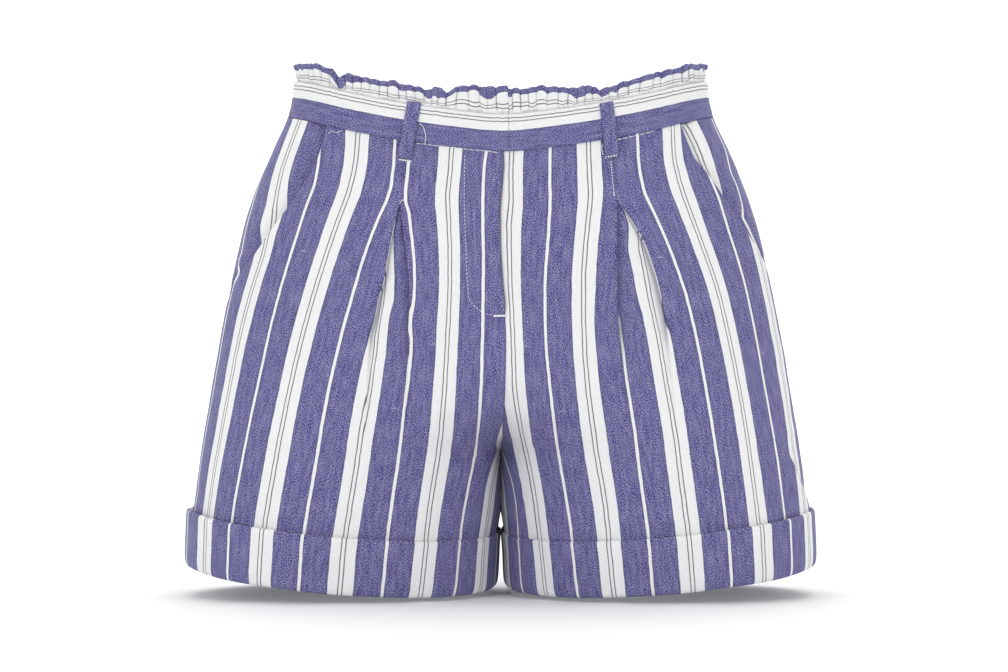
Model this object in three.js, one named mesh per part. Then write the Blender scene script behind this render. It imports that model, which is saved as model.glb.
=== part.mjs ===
// Striped shorts, filled out as on a hidden form: high gathered waist, two front pleats, turned-up cuffs.
// Millimetres, +Z up, the front faces -Y, the wearer's left leg is on +X.
// The origin is in the middle of the waist, level with the middle of the waistband at the sides.
import * as THREE from "three";

// Cloth thicknesses
const CLOTH = 1.5;
const BAND_CLOTH = 2.6;
const FRILL_CLOTH = 1.3;
const CUFF_CLOTH = 2.2;
const BAG_CLOTH = 1.0;
const SEAM_GAP = 0.3;

// Heights at the side seams
const FRILL_TOP = 26;
const SHIRRING = 15;
const WAIST_SEAM = -13.6;
const HEM = -312.5;
const CUFF_HEIGHT = 35;

// How far the line of the waist and of the hem falls at the front, below the side seams
const WAIST_DIP = 25.4;
const HEM_DIP = 18.4;

// Ruffles of the frill, all the way round
const RUFFLES = 62;

// Belt loops
const LOOP_WIDTH = 9.5;
const LOOP_CLOTH = 1.6;

// The form of one half, by height at the side seam: half width, front and back depth, roundness,
// how far the leg is a round of its own (0 torso, 1 leg), and where the inside of the leg stands.
const FORM = [
  { z: 30, width: 139.6, front: -67, back: 76, roundF: 2.7, roundB: 2.4, legF: 0, legB: 0, inner: 0 },
  { z: 15, width: 139.4, front: -67.5, back: 77, roundF: 2.7, roundB: 2.4, legF: 0, legB: 0, inner: 0 },
  { z: 0, width: 140.2, front: -68.5, back: 78, roundF: 2.7, roundB: 2.4, legF: 0, legB: 0, inner: 0 },
  { z: -13.6, width: 143.6, front: -70, back: 80, roundF: 2.7, roundB: 2.4, legF: 0, legB: 0, inner: 0 },
  { z: -34, width: 152.6, front: -76, back: 90, roundF: 2.65, roundB: 2.4, legF: 0, legB: 0, inner: 0 },
  { z: -51, width: 160.3, front: -80.5, back: 98, roundF: 2.6, roundB: 2.4, legF: 0, legB: 0, inner: 0 },
  { z: -68, width: 167, front: -84, back: 106, roundF: 2.55, roundB: 2.4, legF: 0, legB: 0, inner: 0 },
  { z: -85, width: 172.5, front: -86.5, back: 112, roundF: 2.5, roundB: 2.4, legF: 0, legB: 0, inner: 0 },
  { z: -102, width: 176.6, front: -88, back: 117, roundF: 2.45, roundB: 2.4, legF: 0.02, legB: 0.03, inner: 0 },
  { z: -136, width: 183.8, front: -89.5, back: 121, roundF: 2.4, roundB: 2.35, legF: 0.12, legB: 0.16, inner: 0 },
  { z: -163, width: 189, front: -89, back: 119, roundF: 2.35, roundB: 2.3, legF: 0.3, legB: 0.36, inner: 0 },
  { z: -186, width: 193, front: -88, back: 114, roundF: 2.3, roundB: 2.3, legF: 0.56, legB: 0.6, inner: 0 },
  { z: -204, width: 196.2, front: -87.2, back: 109, roundF: 2.3, roundB: 2.3, legF: 0.84, legB: 0.84, inner: 0 },
  { z: -213, width: 197.6, front: -86.8, back: 107, roundF: 2.3, roundB: 2.3, legF: 0.955, legB: 0.955, inner: 0 },
  { z: -220, width: 198.8, front: -86.5, back: 105, roundF: 2.3, roundB: 2.3, legF: 1, legB: 1, inner: 0 },
  { z: -236, width: 201.4, front: -86, back: 102, roundF: 2.3, roundB: 2.3, legF: 1, legB: 1, inner: 1.6 },
  { z: -260, width: 204.8, front: -85.4, back: 99.5, roundF: 2.3, roundB: 2.3, legF: 1, legB: 1, inner: 2.4 },
  { z: -282, width: 207.2, front: -85, back: 98, roundF: 2.3, roundB: 2.3, legF: 1, legB: 1, inner: 3.6 },
  { z: -318, width: 211.4, front: -84.5, back: 96, roundF: 2.3, roundB: 2.3, legF: 1, legB: 1, inner: 5 },
];

// Share of the dip by share of the half width, for the waist and the hem, front and back
const FALL = [
  { x: 0, waistF: 1, hemF: 0.78, waistB: 0.66, hemB: 0.78 },
  { x: 0.06, waistF: 0.99, hemF: 0.97, waistB: 0.65, hemB: 0.77 },
  { x: 0.2, waistF: 0.91, hemF: 1, waistB: 0.62, hemB: 0.74 },
  { x: 0.4, waistF: 0.76, hemF: 0.9, waistB: 0.52, hemB: 0.64 },
  { x: 0.55, waistF: 0.61, hemF: 0.78, waistB: 0.42, hemB: 0.54 },
  { x: 0.7, waistF: 0.43, hemF: 0.58, waistB: 0.29, hemB: 0.4 },
  { x: 0.87, waistF: 0.18, hemF: 0.32, waistB: 0.12, hemB: 0.22 },
  { x: 1, waistF: 0, hemF: 0, waistB: 0, hemB: 0 },
];

// The fly's edge and the centre seam wander a little to each side
const CENTRE_LINE = [
  { z: -10, x: 1.6 },
  { z: -40, x: 1.8 },
  { z: -58, x: 0.7 },
  { z: -80, x: -1 },
  { z: -95, x: -0.9 },
  { z: -125, x: 0.8 },
  { z: -148, x: 3 },
  { z: -165, x: 3.6 },
  { z: -200, x: 2.6 },
  { z: -225, x: 1.2 },
  { z: -240, x: 0 },
];

// Each front's pleat, stitched down from the waist and let out below: where its valley lies and how deep it is
const PLEATS = {
  right: [
    { z: -38, x: 60, depth: 1 },
    { z: -72, x: 65.5, depth: 1.6 },
    { z: -90, x: 68, depth: 4.6 },
    { z: -107, x: 70, depth: 6 },
    { z: -137, x: 74, depth: 4 },
    { z: -170, x: 78, depth: 2 },
    { z: -215, x: 81, depth: 0.6 },
    { z: -250, x: 83, depth: 0 },
  ],
  left: [
    { z: -38, x: 73, depth: 1 },
    { z: -72, x: 75, depth: 1.6 },
    { z: -90, x: 75.5, depth: 5 },
    { z: -107, x: 75.5, depth: 6 },
    { z: -137, x: 76, depth: 4.4 },
    { z: -170, x: 80, depth: 2.4 },
    { z: -215, x: 85, depth: 0.8 },
    { z: -250, x: 88, depth: 0 },
  ],
};
const PLEAT_HALF_WIDTH = 6.5;

// Where the slanted pocket edge crosses each height, as a share of the half width
const POCKET_EDGE = {
  right: [
    { z: -13.6, x: 0.8 },
    { z: -34, x: 0.788 },
    { z: -61, x: 0.817 },
    { z: -79, x: 0.861 },
    { z: -100, x: 0.912 },
    { z: -123, x: 0.974 },
    { z: -142, x: 1 },
  ],
  left: [
    { z: -13.6, x: 0.829 },
    { z: -34, x: 0.83 },
    { z: -48.5, x: 0.859 },
    { z: -63.5, x: 0.888 },
    { z: -74, x: 0.909 },
    { z: -88, x: 0.939 },
    { z: -100, x: 0.963 },
    { z: -111, x: 0.986 },
    { z: -124, x: 1 },
  ],
};

// Belt loops: where the middle of each stands at the top and at the bottom
const LOOPS = [
  { name: "belt_loop_front_right", side: "right", half: "front", top: 58.6, foot: 63.3 },
  { name: "belt_loop_front_left", side: "left", half: "front", top: 69.5, foot: 73.2 },
  { name: "belt_loop_back_right", side: "right", half: "back", top: 62, foot: 64 },
  { name: "belt_loop_back_left", side: "left", half: "back", top: 62, foot: 64 },
];

// A smooth value of one named column of a table, read along another column
function read(table, along, at, name) {
  const rising = table[1][along] > table[0][along];
  const rows = rising ? table : [...table].reverse();
  const last = rows.length - 1;
  if (at <= rows[0][along]) return rows[0][name];
  if (at >= rows[last][along]) return rows[last][name];
  let i = 0;
  while (at > rows[i + 1][along]) i++;
  const slope = (a, b) => (rows[b][name] - rows[a][name]) / (rows[b][along] - rows[a][along]);
  const here = slope(i, i + 1);
  const limit = (other) => (other * here <= 0 ? 0 : (2 * other * here) / (other + here));
  const before = i > 0 ? limit(slope(i - 1, i)) : here;
  const after = i + 1 < last ? limit(slope(i + 1, i + 2)) : here;
  const span = rows[i + 1][along] - rows[i][along];
  const t = (at - rows[i][along]) / span;
  const a = rows[i][name];
  const b = rows[i + 1][name];
  return (
    a * (2 * t ** 3 - 3 * t ** 2 + 1) +
    before * span * (t ** 3 - 2 * t ** 2 + t) +
    b * (3 * t ** 2 - 2 * t ** 3) +
    after * span * (t ** 3 - t ** 2)
  );
}

const form = (z, name) => read(FORM, "z", z, name);
const mix = (a, b, t) => a + (b - a) * t;
const clamp = (t) => Math.min(1, Math.max(0, t));
const soft = (t) => clamp(t) ** 2 * (3 - 2 * clamp(t));

// How far a point hangs below the height of its row at the side seam
function fall(half, share, z) {
  const end = half === "front" ? "F" : "B";
  const down = clamp((WAIST_SEAM - z) / (WAIST_SEAM - HEM));
  const waist = read(FALL, "x", share, "waist" + end) * WAIST_DIP;
  const hem = read(FALL, "x", share, "hem" + end) * HEM_DIP;
  return mix(waist, hem, down);
}

// One row of one half, from the centre or inside leg to the side seam, as points and distances along it
const rowsMade = new Map();
function row(side, half, z) {
  const key = side + half + z.toFixed(4);
  if (rowsMade.has(key)) return rowsMade.get(key);
  const front = half === "front";
  const leg = form(z, front ? "legF" : "legB");
  const round = form(z, front ? "roundF" : "roundB");
  const depth = form(z, half);
  const inner = SEAM_GAP / 2 + form(z, "inner");
  const width = form(z, "width");
  const halfWidth = (width - inner) / (1 + leg);
  const middle = width - halfWidth;
  const steps = 240;
  const start = Math.acos(-(clamp(leg) ** (round / 2)));
  const points = [];
  for (let i = 0; i <= steps; i++) {
    const t = i / steps;
    const angle = start * (1 - t);
    const c = Math.cos(angle);
    const s = Math.sin(angle);
    const x = middle + halfWidth * Math.sign(c) * Math.abs(c) ** (2 / round);
    const seamY = mix(15 * leg * leg, -3, clamp(x / width));
    const y = seamY + (depth - mix(15 * leg * leg, -3, 0.5)) * Math.abs(s) ** (2 / round);
    const high = z - fall(half, clamp(x / width), z);
    const wander = read(CENTRE_LINE, "z", high, "x") * clamp(1 - x / 60);
    const sign = side === "left" ? 1 : -1;
    points.push([sign * x + (front ? wander : 0), y, high]);
  }
  const along = [0];
  for (let i = 1; i <= steps; i++) {
    const d = Math.hypot(...points[i].map((v, k) => v - points[i - 1][k]));
    along.push(along[i - 1] + d);
  }
  const made = { points, along, length: along[steps], width };
  rowsMade.set(key, made);
  return made;
}

// The point at a distance along a row
function at(made, distance) {
  const { points, along } = made;
  let low = 0;
  let high = along.length - 1;
  while (high - low > 1) {
    const half = (low + high) >> 1;
    if (along[half] <= distance) low = half;
    else high = half;
  }
  const t = clamp((distance - along[low]) / (along[high] - along[low]));
  return points[low].map((v, k) => mix(v, points[high][k], t));
}

// The distance along a row where it reaches a distance out from the centre, on its way to the side
function reach(made, out) {
  const { points, along } = made;
  for (let i = points.length - 1; i > 0; i--) {
    const a = Math.abs(points[i - 1][0]);
    const b = Math.abs(points[i][0]);
    if (out >= a && out <= b) return mix(along[i - 1], along[i], (out - a) / Math.max(1e-9, b - a));
  }
  return out >= Math.abs(points[points.length - 1][0]) ? along[along.length - 1] : 0;
}

// A point of the form at a share of its row, moved out along the form's normal
function place(side, half, z, distance, out) {
  const made = row(side, half, z);
  const share = distance / made.length;
  const step = 1.5;
  const below = row(side, half, z - step);
  const above = row(side, half, z + step);
  const p = at(made, distance);
  const a = at(made, Math.max(0, distance - step));
  const b = at(made, Math.min(made.length, distance + step));
  const c = at(above, share * above.length);
  const d = at(below, share * below.length);
  const across = new THREE.Vector3(b[0] - a[0], b[1] - a[1], b[2] - a[2]);
  const up = new THREE.Vector3(c[0] - d[0], c[1] - d[1], c[2] - d[2]);
  const normal = across.cross(up).normalize();
  const towards = half === "front" ? 1 : -1;
  const mirror = side === "left" ? 1 : -1;
  normal.multiplyScalar(towards * mirror);
  return [p[0] + normal.x * out, p[1] + normal.y * out, p[2] + normal.z * out];
}

// A closed body from an outer and an inner grid of points with the same rows and columns
function shell(outer, inner) {
  const rows = outer.length;
  const cols = outer[0].length;
  const points = [...outer.flat(), ...inner.flat()];
  const faces = [];
  const out = (r, c) => r * cols + c;
  const inn = (r, c) => rows * cols + r * cols + c;
  const quad = (a, b, c, d) => faces.push([a, b, c], [a, c, d]);
  for (let r = 0; r + 1 < rows; r++) {
    for (let c = 0; c + 1 < cols; c++) {
      quad(out(r, c), out(r, c + 1), out(r + 1, c + 1), out(r + 1, c));
      quad(inn(r, c), inn(r + 1, c), inn(r + 1, c + 1), inn(r, c + 1));
    }
  }
  for (let c = 0; c + 1 < cols; c++) {
    quad(out(0, c), inn(0, c), inn(0, c + 1), out(0, c + 1));
    quad(out(rows - 1, c), out(rows - 1, c + 1), inn(rows - 1, c + 1), inn(rows - 1, c));
  }
  for (let r = 0; r + 1 < rows; r++) {
    quad(out(r, 0), out(r + 1, 0), inn(r + 1, 0), inn(r, 0));
    quad(out(r, cols - 1), inn(r, cols - 1), inn(r + 1, cols - 1), out(r + 1, cols - 1));
  }
  return body(points, faces);
}

// A closed ring from loops of points: one profile all round, each profile a closed outline
function ring(profiles) {
  const around = profiles.length;
  const sides = profiles[0].length;
  const faces = [];
  for (let i = 0; i < around; i++) {
    for (let k = 0; k < sides; k++) {
      const j = (i + 1) % around;
      const m = (k + 1) % sides;
      const a = i * sides + k;
      const b = j * sides + k;
      const c = j * sides + m;
      const d = i * sides + m;
      faces.push([a, b, c], [a, c, d]);
    }
  }
  return body(profiles.flat(), faces);
}

// Geometry of one closed body, its faces turned to point out
function body(points, faces) {
  let volume = 0;
  for (const [a, b, c] of faces) {
    const [p, q, r] = [points[a], points[b], points[c]];
    volume += p[0] * (q[1] * r[2] - q[2] * r[1]);
    volume += p[1] * (q[2] * r[0] - q[0] * r[2]);
    volume += p[2] * (q[0] * r[1] - q[1] * r[0]);
  }
  const turned = volume < 0 ? faces.map(([a, b, c]) => [a, c, b]) : faces;
  const geometry = new THREE.BufferGeometry();
  geometry.setAttribute("position", new THREE.Float32BufferAttribute(points.flat(), 3));
  geometry.setIndex(turned.flat());
  geometry.computeVertexNormals();
  return geometry;
}

const BLUE = { color: 0x5f5ca6, roughness: 0.92, metalness: 0 };
const WHITE = { color: 0xedeef1, roughness: 0.92, metalness: 0 };
const STEEL = { color: 0x9a9ca0, roughness: 0.35, metalness: 0.9 };
const shorts = new THREE.Group();
function add(name, geometry, look) {
  const mesh = new THREE.Mesh(geometry, new THREE.MeshStandardMaterial(look));
  mesh.name = name;
  shorts.add(mesh);
}

// How far the front is pushed in or out by its pleat, at a distance out from the centre
function pleat(side, z, x) {
  const valley = read(PLEATS[side], "z", z, "x");
  const depth = read(PLEATS[side], "z", z, "depth");
  const past = (x - valley) / PLEAT_HALF_WIDTH;
  const trough = depth * clamp(1 - Math.abs(past));
  const ridge = 0.3 * depth * soft(1 - Math.abs(past - 1.6) / 1.4);
  return ridge - trough;
}

// Rows of the legs, from the waist seam to just inside the fold of the cuff
const PANEL_ROWS = [
  -13.75, -30, -48, -66, -82, -95, -107, -118, -130, -143, -158, -175, -190, -203, -212, -219.5, -231, -252, -280,
  HEM + 0.6,
];

// Front and back leave a gap at the inside leg seam, which starts at the crotch
const inseamGap = (half, z) => (SEAM_GAP / 2) * soft((form(z, half === "front" ? "legF" : "legB") - 0.9) / 0.08);

// The distance along a row to the pocket's slanted edge, or to the side seam below the pocket
function pocketEdge(side, z) {
  const made = row(side, "front", z);
  const seam = made.length - SEAM_GAP / 2;
  const share = Math.min(1, read(POCKET_EDGE[side], "z", z, "x"));
  return share > 0.9995 ? seam : Math.min(seam, reach(made, share * made.width));
}
// The same between two rows of the front panel, which is straight there
function pocketEdgeBetween(side, z) {
  let i = 0;
  while (i + 2 < PANEL_ROWS.length && z < PANEL_ROWS[i + 1]) i++;
  const [top, low] = [PANEL_ROWS[i], PANEL_ROWS[i + 1]];
  const share = (at) => pocketEdge(side, at) / row(side, "front", at).length;
  return mix(share(top), share(low), (top - z) / (top - low)) * row(side, "front", z).length;
}

// Front panels: centre seam or fly edge, pleat, and the slanted pocket edge that runs into the side seam
for (const side of ["right", "left"]) {
  const outer = [];
  const inner = [];
  for (const z of PANEL_ROWS) {
    const made = row(side, "front", z);
    const end = pocketEdge(side, z);
    const valleyHeight = z - fall("front", 0.42, z);
    const valley = read(PLEATS[side], "z", valleyHeight, "x");
    const begin = inseamGap("front", z);
    const stops = [begin];
    const inside = reach(made, valley - PLEAT_HALF_WIDTH);
    for (let i = 1; i <= 5; i++) stops.push(mix(begin, inside, i / 5));
    stops.push(reach(made, valley));
    stops.push(reach(made, valley + PLEAT_HALF_WIDTH * 0.5));
    stops.push(reach(made, valley + PLEAT_HALF_WIDTH));
    const outside = reach(made, valley + PLEAT_HALF_WIDTH * 1.6);
    stops.push(outside);
    for (let i = 1; i <= 8; i++) stops.push(mix(outside, end, (i / 8) ** 0.75));
    const push = stops.map((d) => pleat(side, valleyHeight, Math.abs(at(made, d)[0])));
    outer.push(stops.map((d, i) => place(side, "front", z, d, push[i])));
    inner.push(stops.map((d, i) => place(side, "front", z, d, push[i] - CLOTH)));
  }
  add("front_" + side, shell(outer, inner), BLUE);
}

// Back panels: side seam to the centre back seam, then to the inside leg
for (const side of ["right", "left"]) {
  const grid = (out) =>
    PANEL_ROWS.map((z) => {
      const made = row(side, "back", z);
      const end = made.length - SEAM_GAP / 2;
      const begin = inseamGap("back", z);
      return [...Array(16).keys()].map((i) => place(side, "back", z, mix(begin, end, i / 15), out));
    });
  add("back_" + side, shell(grid(0), grid(-CLOTH)), BLUE);
}

// Hip pieces: what shows in the pocket opening, from under the pocket edge to the side seam
for (const side of ["right", "left"]) {
  const bottom = side === "right" ? -150 : -133;
  const grid = (out) =>
    [...Array(11).keys()].map((k) => {
      const z = mix(-13.75, bottom, k / 10);
      const made = row(side, "front", z);
      const edge = pocketEdgeBetween(side, z);
      const end = made.length - SEAM_GAP / 2;
      const inside = edge - 12;
      const rise = Math.min(11, (end - edge) * 0.8);
      const open = soft((end - edge - 15) / 14);
      const out0 = Math.min(edge + 2, end - 4);
      const stops = [0, 0.5, 1].map((t) => mix(inside, out0, t));
      for (let i = 1; i <= 4; i++) stops.push(mix(out0, end, i / 4));
      return stops.map((d) => {
        const under = (CLOTH + 7 * SEAM_GAP) * (1 - open * soft((d - edge - 2) / rise));
        return place(side, "front", z, d, out - under);
      });
    });
  add("hip_" + side, shell(grid(0), grid(-CLOTH)), BLUE);
}

// Pocket bags, hanging inside each front from the waist seam
for (const side of ["right", "left"]) {
  const grid = (out) =>
    [...Array(7).keys()].map((k) => {
      const z = mix(-15, -165, k / 6);
      const made = row(side, "front", z);
      const inside = reach(made, (0.62 + 0.03 * k) * made.width);
      return [...Array(7).keys()].map((i) => place(side, "front", z, mix(inside, made.length - 7, i / 6), out));
    });
  const under = -2 * CLOTH - 12 * SEAM_GAP;
  add("pocket_bag_" + side, shell(grid(under), grid(under - BAG_CLOTH)), WHITE);
}

// Waistband: two fronts that meet at the centre front, and one piece across the back
const BAND_OUT = 0.4;
const BAND_END = 5.4;
function strip(stops, rows, outward) {
  return rows.map((r) => stops.map((s) => place(s.side, s.half, r.z, s.along(row(s.side, s.half, r.z)), outward(r, s))));
}
function frontStops(side, count) {
  const start = (made) => (side === "right" ? 0 : reach(made, BAND_END + SEAM_GAP));
  return [...Array(count + 1).keys()].map((i) => ({
    side,
    half: "front",
    turn: i / count,
    along: (made) => mix(start(made), made.length - SEAM_GAP / 2, i / count),
  }));
}
function backStops(count) {
  const one = (side, from, to) =>
    [...Array(count + 1).keys()].map((i) => ({
      side,
      half: "back",
      turn: mix(from, to, i / count),
      along: (made) => mix(from, to, i / count) * (made.length - SEAM_GAP / 2),
    }));
  return [...one("right", 1, 0), ...one("left", 0, 1).slice(1)];
}
const bandRows = [{ z: WAIST_SEAM + SEAM_GAP / 2 }, { z: 0 }, { z: SHIRRING - SEAM_GAP / 2 }];
// The right front's band runs on past the centre as a tab, over the end of the left front's band
function tabStops(count) {
  const tab = [1, 0.5].map((t) => ({
    side: "left",
    half: "front",
    turn: 0,
    along: (made) => reach(made, BAND_END) * t,
  }));
  return [...tab, ...frontStops("right", count)];
}
const bandFronts = { right: tabStops(16), left: frontStops("left", 16) };
for (const side of ["right", "left"]) {
  const outer = strip(bandFronts[side], bandRows, () => BAND_OUT);
  const inner = strip(bandFronts[side], bandRows, () => BAND_OUT - BAND_CLOTH);
  add("waistband_front_" + side, shell(outer, inner), BLUE);
}
add(
  "waistband_back",
  shell(
    strip(backStops(15), bandRows, () => BAND_OUT),
    strip(backStops(15), bandRows, () => BAND_OUT - BAND_CLOTH),
  ),
  BLUE,
);

// Frill: the waistband's own cloth standing above the shirring, gathered into uneven ruffles
const frillRows = [
  { z: SHIRRING + SEAM_GAP / 2, wave: 0.5 },
  { z: SHIRRING + 5, wave: 1.8 },
  { z: FRILL_TOP, wave: 2.9 },
];
function ruffle(turn) {
  const wander = 0.55 * Math.sin(turn * 3.1 + 0.7) + 0.4 * Math.sin(turn * 7.3 + 2.1);
  return Math.sin(turn + wander) * (0.78 + 0.22 * Math.sin(turn * 0.37 + 1));
}
function frillOf(name, stops, firstWave, waves) {
  const outward = (shift) => (r, s) =>
    shift + BAND_OUT - 0.6 + r.wave * ruffle((firstWave + waves * s.place) * 2 * Math.PI);
  stops.forEach((s, i) => (s.place = i / (stops.length - 1)));
  add(name, shell(strip(stops, frillRows, outward(0)), strip(stops, frillRows, outward(-FRILL_CLOTH))), WHITE);
}
const FRONT_RUFFLES = Math.round(RUFFLES / 4);
frillOf("frill_front_right", tabStops(FRONT_RUFFLES * 4), 0, FRONT_RUFFLES);
frillOf("frill_front_left", frontStops("left", FRONT_RUFFLES * 4), 20.3, FRONT_RUFFLES);
frillOf("frill_back", backStops(FRONT_RUFFLES * 4), 40.7, RUFFLES - 2 * FRONT_RUFFLES);

// Cuffs: the end of each leg turned up outside, folded at the hem and standing off a little at its top
const CUFF_GAP = 0.45;
const cuffProfile = [
  { up: CUFF_HEIGHT, out: CUFF_GAP, lift: 1 },
  { up: CUFF_HEIGHT * 0.5, out: CUFF_GAP, lift: 0.5 },
  { up: 0.2, out: CUFF_GAP, lift: 0 },
  { up: 0.2, out: -CLOTH, lift: 0 },
  { up: -1.2, out: -CLOTH * 0.7, lift: 0 },
  { up: -1.9, out: 0.3, lift: 0 },
  { up: -1.2, out: 1.9, lift: 0 },
  { up: 1.2, out: CUFF_GAP + CUFF_CLOTH, lift: 0 },
  { up: CUFF_HEIGHT * 0.5, out: CUFF_GAP + CUFF_CLOTH, lift: 0.5 },
  { up: CUFF_HEIGHT, out: CUFF_GAP + CUFF_CLOTH, lift: 1 },
];
function cuffLoop(side, z) {
  const front = row(side, "front", z);
  const back = row(side, "back", z);
  const count = 21;
  const loop = [...Array(count).keys()].map((i) => at(front, (front.length * i) / count));
  loop.push(...[...Array(count).keys()].map((i) => at(back, back.length * (1 - i / count))));
  return loop;
}
for (const side of ["right", "left"]) {
  const loops = cuffProfile.map((p) => cuffLoop(side, HEM + p.up));
  const sign = side === "left" ? 1 : -1;
  const profiles = loops[0].map((_, i) =>
    cuffProfile.map((p, k) => {
      const loop = loops[k];
      const before = loop[(i + loop.length - 1) % loop.length];
      const after = loop[(i + 1) % loop.length];
      const here = loop[i];
      const length = Math.hypot(after[0] - before[0], after[1] - before[1]);
      const nx = (sign * (after[1] - before[1])) / length;
      const ny = (-sign * (after[0] - before[0])) / length;
      const lift = 2.4 * p.lift * soft(Math.abs(here[0]) / 60);
      return [here[0] + nx * (p.out + lift), here[1] + ny * (p.out + lift), here[2]];
    }),
  );
  add("cuff_" + side, ring(profiles), BLUE);
}

// Belt loops: narrow straps across the waistband, stitched down at both ends
for (const loop of LOOPS) {
  const steps = 6;
  const grid = (out) =>
    [...Array(steps + 1).keys()].map((k) => {
      const t = k / steps;
      const z = mix(8.5, -27, t);
      const made = row(loop.side, loop.half, z);
      const middle = reach(made, mix(loop.top, loop.foot, t));
      const stand = BAND_OUT + SEAM_GAP + 1.5 * Math.sin(Math.PI * t) + (t > 0.99 ? -0.1 : 0);
      return [-0.5, -0.17, 0.17, 0.5].map((w) =>
        place(loop.side, loop.half, z, middle + w * LOOP_WIDTH, stand + out),
      );
    });
  add(loop.name, shell(grid(LOOP_CLOTH), grid(0)), BLUE);
}

// Behind the fly: the slider, the zip's tape with its closed teeth, and the underlap behind them
function flyPanel(from, to, top, bottom, near, thick, columns, ridge) {
  const rows = top - bottom > 20 ? 7 : 2;
  const grid = (out) =>
    [...Array(rows + 1).keys()].map((k) => {
      const z = mix(top, bottom, k / rows);
      return [...Array(columns + 1).keys()].map((i) => {
        const x = mix(from, to, i / columns);
        const side = x < 0 ? "right" : "left";
        const made = row(side, "front", z);
        const p = place(side, "front", z, Math.abs(x), 0);
        const bump = ridge && out === 0 && i > 1 && i < columns - 1 ? ridge : 0;
        return [p[0], p[1] + near - out - bump, p[2]];
      });
    });
  return shell(grid(0), grid(-thick));
}
add("zip_slider", flyPanel(-6.5, 0.5, -19, -28, 2.3, 1.8, 2, 0), STEEL);
add("zip_tape", flyPanel(-15, 9, -18, -116, 5.2, 0.9, 8, 0.5), WHITE);
add("fly_underlap", flyPanel(-31, 12, -15, -126, 6.8, 1.2, 6, 0), BLUE);

export default shorts;
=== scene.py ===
import math

import bpy
import numpy as np
from mathutils import Matrix, Vector, noise
from mathutils.bvhtree import BVHTree


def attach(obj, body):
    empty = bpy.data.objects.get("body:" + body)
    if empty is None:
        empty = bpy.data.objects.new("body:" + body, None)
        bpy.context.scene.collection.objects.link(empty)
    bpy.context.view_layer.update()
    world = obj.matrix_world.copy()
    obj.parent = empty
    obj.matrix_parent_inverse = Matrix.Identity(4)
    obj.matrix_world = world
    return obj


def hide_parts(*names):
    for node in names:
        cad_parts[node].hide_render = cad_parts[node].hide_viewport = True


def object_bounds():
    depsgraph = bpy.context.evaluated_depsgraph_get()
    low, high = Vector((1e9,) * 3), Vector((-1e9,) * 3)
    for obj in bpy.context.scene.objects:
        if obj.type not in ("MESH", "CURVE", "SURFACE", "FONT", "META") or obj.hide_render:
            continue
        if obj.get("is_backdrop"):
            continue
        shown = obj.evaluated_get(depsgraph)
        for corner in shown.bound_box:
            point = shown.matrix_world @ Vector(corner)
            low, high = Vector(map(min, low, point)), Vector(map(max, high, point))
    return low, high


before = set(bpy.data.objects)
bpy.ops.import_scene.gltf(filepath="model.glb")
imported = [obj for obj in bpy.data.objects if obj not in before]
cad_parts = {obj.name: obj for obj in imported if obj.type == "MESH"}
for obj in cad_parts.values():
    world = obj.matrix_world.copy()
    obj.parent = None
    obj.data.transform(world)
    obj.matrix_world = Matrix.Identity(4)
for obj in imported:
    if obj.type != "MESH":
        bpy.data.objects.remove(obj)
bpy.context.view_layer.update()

# ---------------------------------------------------------------------------------------------
# Studio: a white sweep of paper just under the hems, soft light from the front and both sides,
# and a long lens level with the middle of the shorts.
bpy.ops.object.select_all(action="DESELECT")
bpy.ops.object.camera_add(location=(0.00224, -2.2, -0.1605), rotation=(math.radians(90), 0, 0))
camera = bpy.context.object
camera.data.lens = 115.55
camera.data.sensor_width = 36
camera.data.dof.use_dof = False
bpy.context.scene.camera = camera
bpy.context.scene.view_settings.view_transform = "Standard"

FLOOR_HEIGHT = -0.3356
bpy.ops.mesh.primitive_plane_add(size=1, location=(0, 0, FLOOR_HEIGHT))
paper_sweep = bpy.context.object
paper_sweep.name = "paper_sweep"
paper_sweep.scale = (9, 7, 1)
bpy.ops.object.transform_apply(location=True, rotation=True, scale=True)
bpy.ops.object.mode_set(mode="EDIT")
bpy.ops.mesh.select_mode(type="EDGE")
bpy.ops.mesh.select_all(action="DESELECT")
bpy.ops.object.mode_set(mode="OBJECT")
for edge in paper_sweep.data.edges:
    edge.select = all(paper_sweep.data.vertices[v].co.y > 3.4 for v in edge.vertices)
bpy.ops.object.mode_set(mode="EDIT")
bpy.ops.mesh.extrude_region_move(TRANSFORM_OT_translate={"value": (0, 0, 5)})
bpy.ops.object.mode_set(mode="OBJECT")
sweep_bend = paper_sweep.modifiers.new("bend", "BEVEL")
sweep_bend.width = 1.6
sweep_bend.segments = 12
bpy.ops.object.modifier_apply(modifier="bend")
bpy.ops.object.shade_smooth()
paper_sweep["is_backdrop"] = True


def wire(tree, node, **values):
    """Sets a node's settings and inputs, from values or from other nodes' sockets."""
    for key, value in values.items():
        if hasattr(node, key):
            setattr(node, key, value)
            continue
        number = key[2:] if key.startswith("in") else ""
        socket = node.inputs[int(number) if number.isdigit() else key.replace("_", " ")]
        if isinstance(value, bpy.types.NodeSocket):
            tree.links.new(value, socket)
        else:
            socket.default_value = value
    return node


def shade(kind, tree, **values):
    """A new node of a material or group."""
    return wire(tree, tree.nodes.new(kind), **values)


def blank_look(name):
    """A material with its tree and its surface."""
    look = bpy.data.materials.get(name) or bpy.data.materials.new(name)
    look.use_nodes = True
    return look, look.node_tree, look.node_tree.nodes["Principled BSDF"]


def tint(tree, amount, dark, light, low=0.0, high=1.0):
    """A colour between two, as an amount goes from low to high."""
    ramp = shade("ShaderNodeValToRGB", tree, Fac=amount)
    for element, colour, position in zip(ramp.color_ramp.elements, (dark, light), (low, high)):
        element.position, element.color = position, colour
    return ramp.outputs["Color"]


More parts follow.
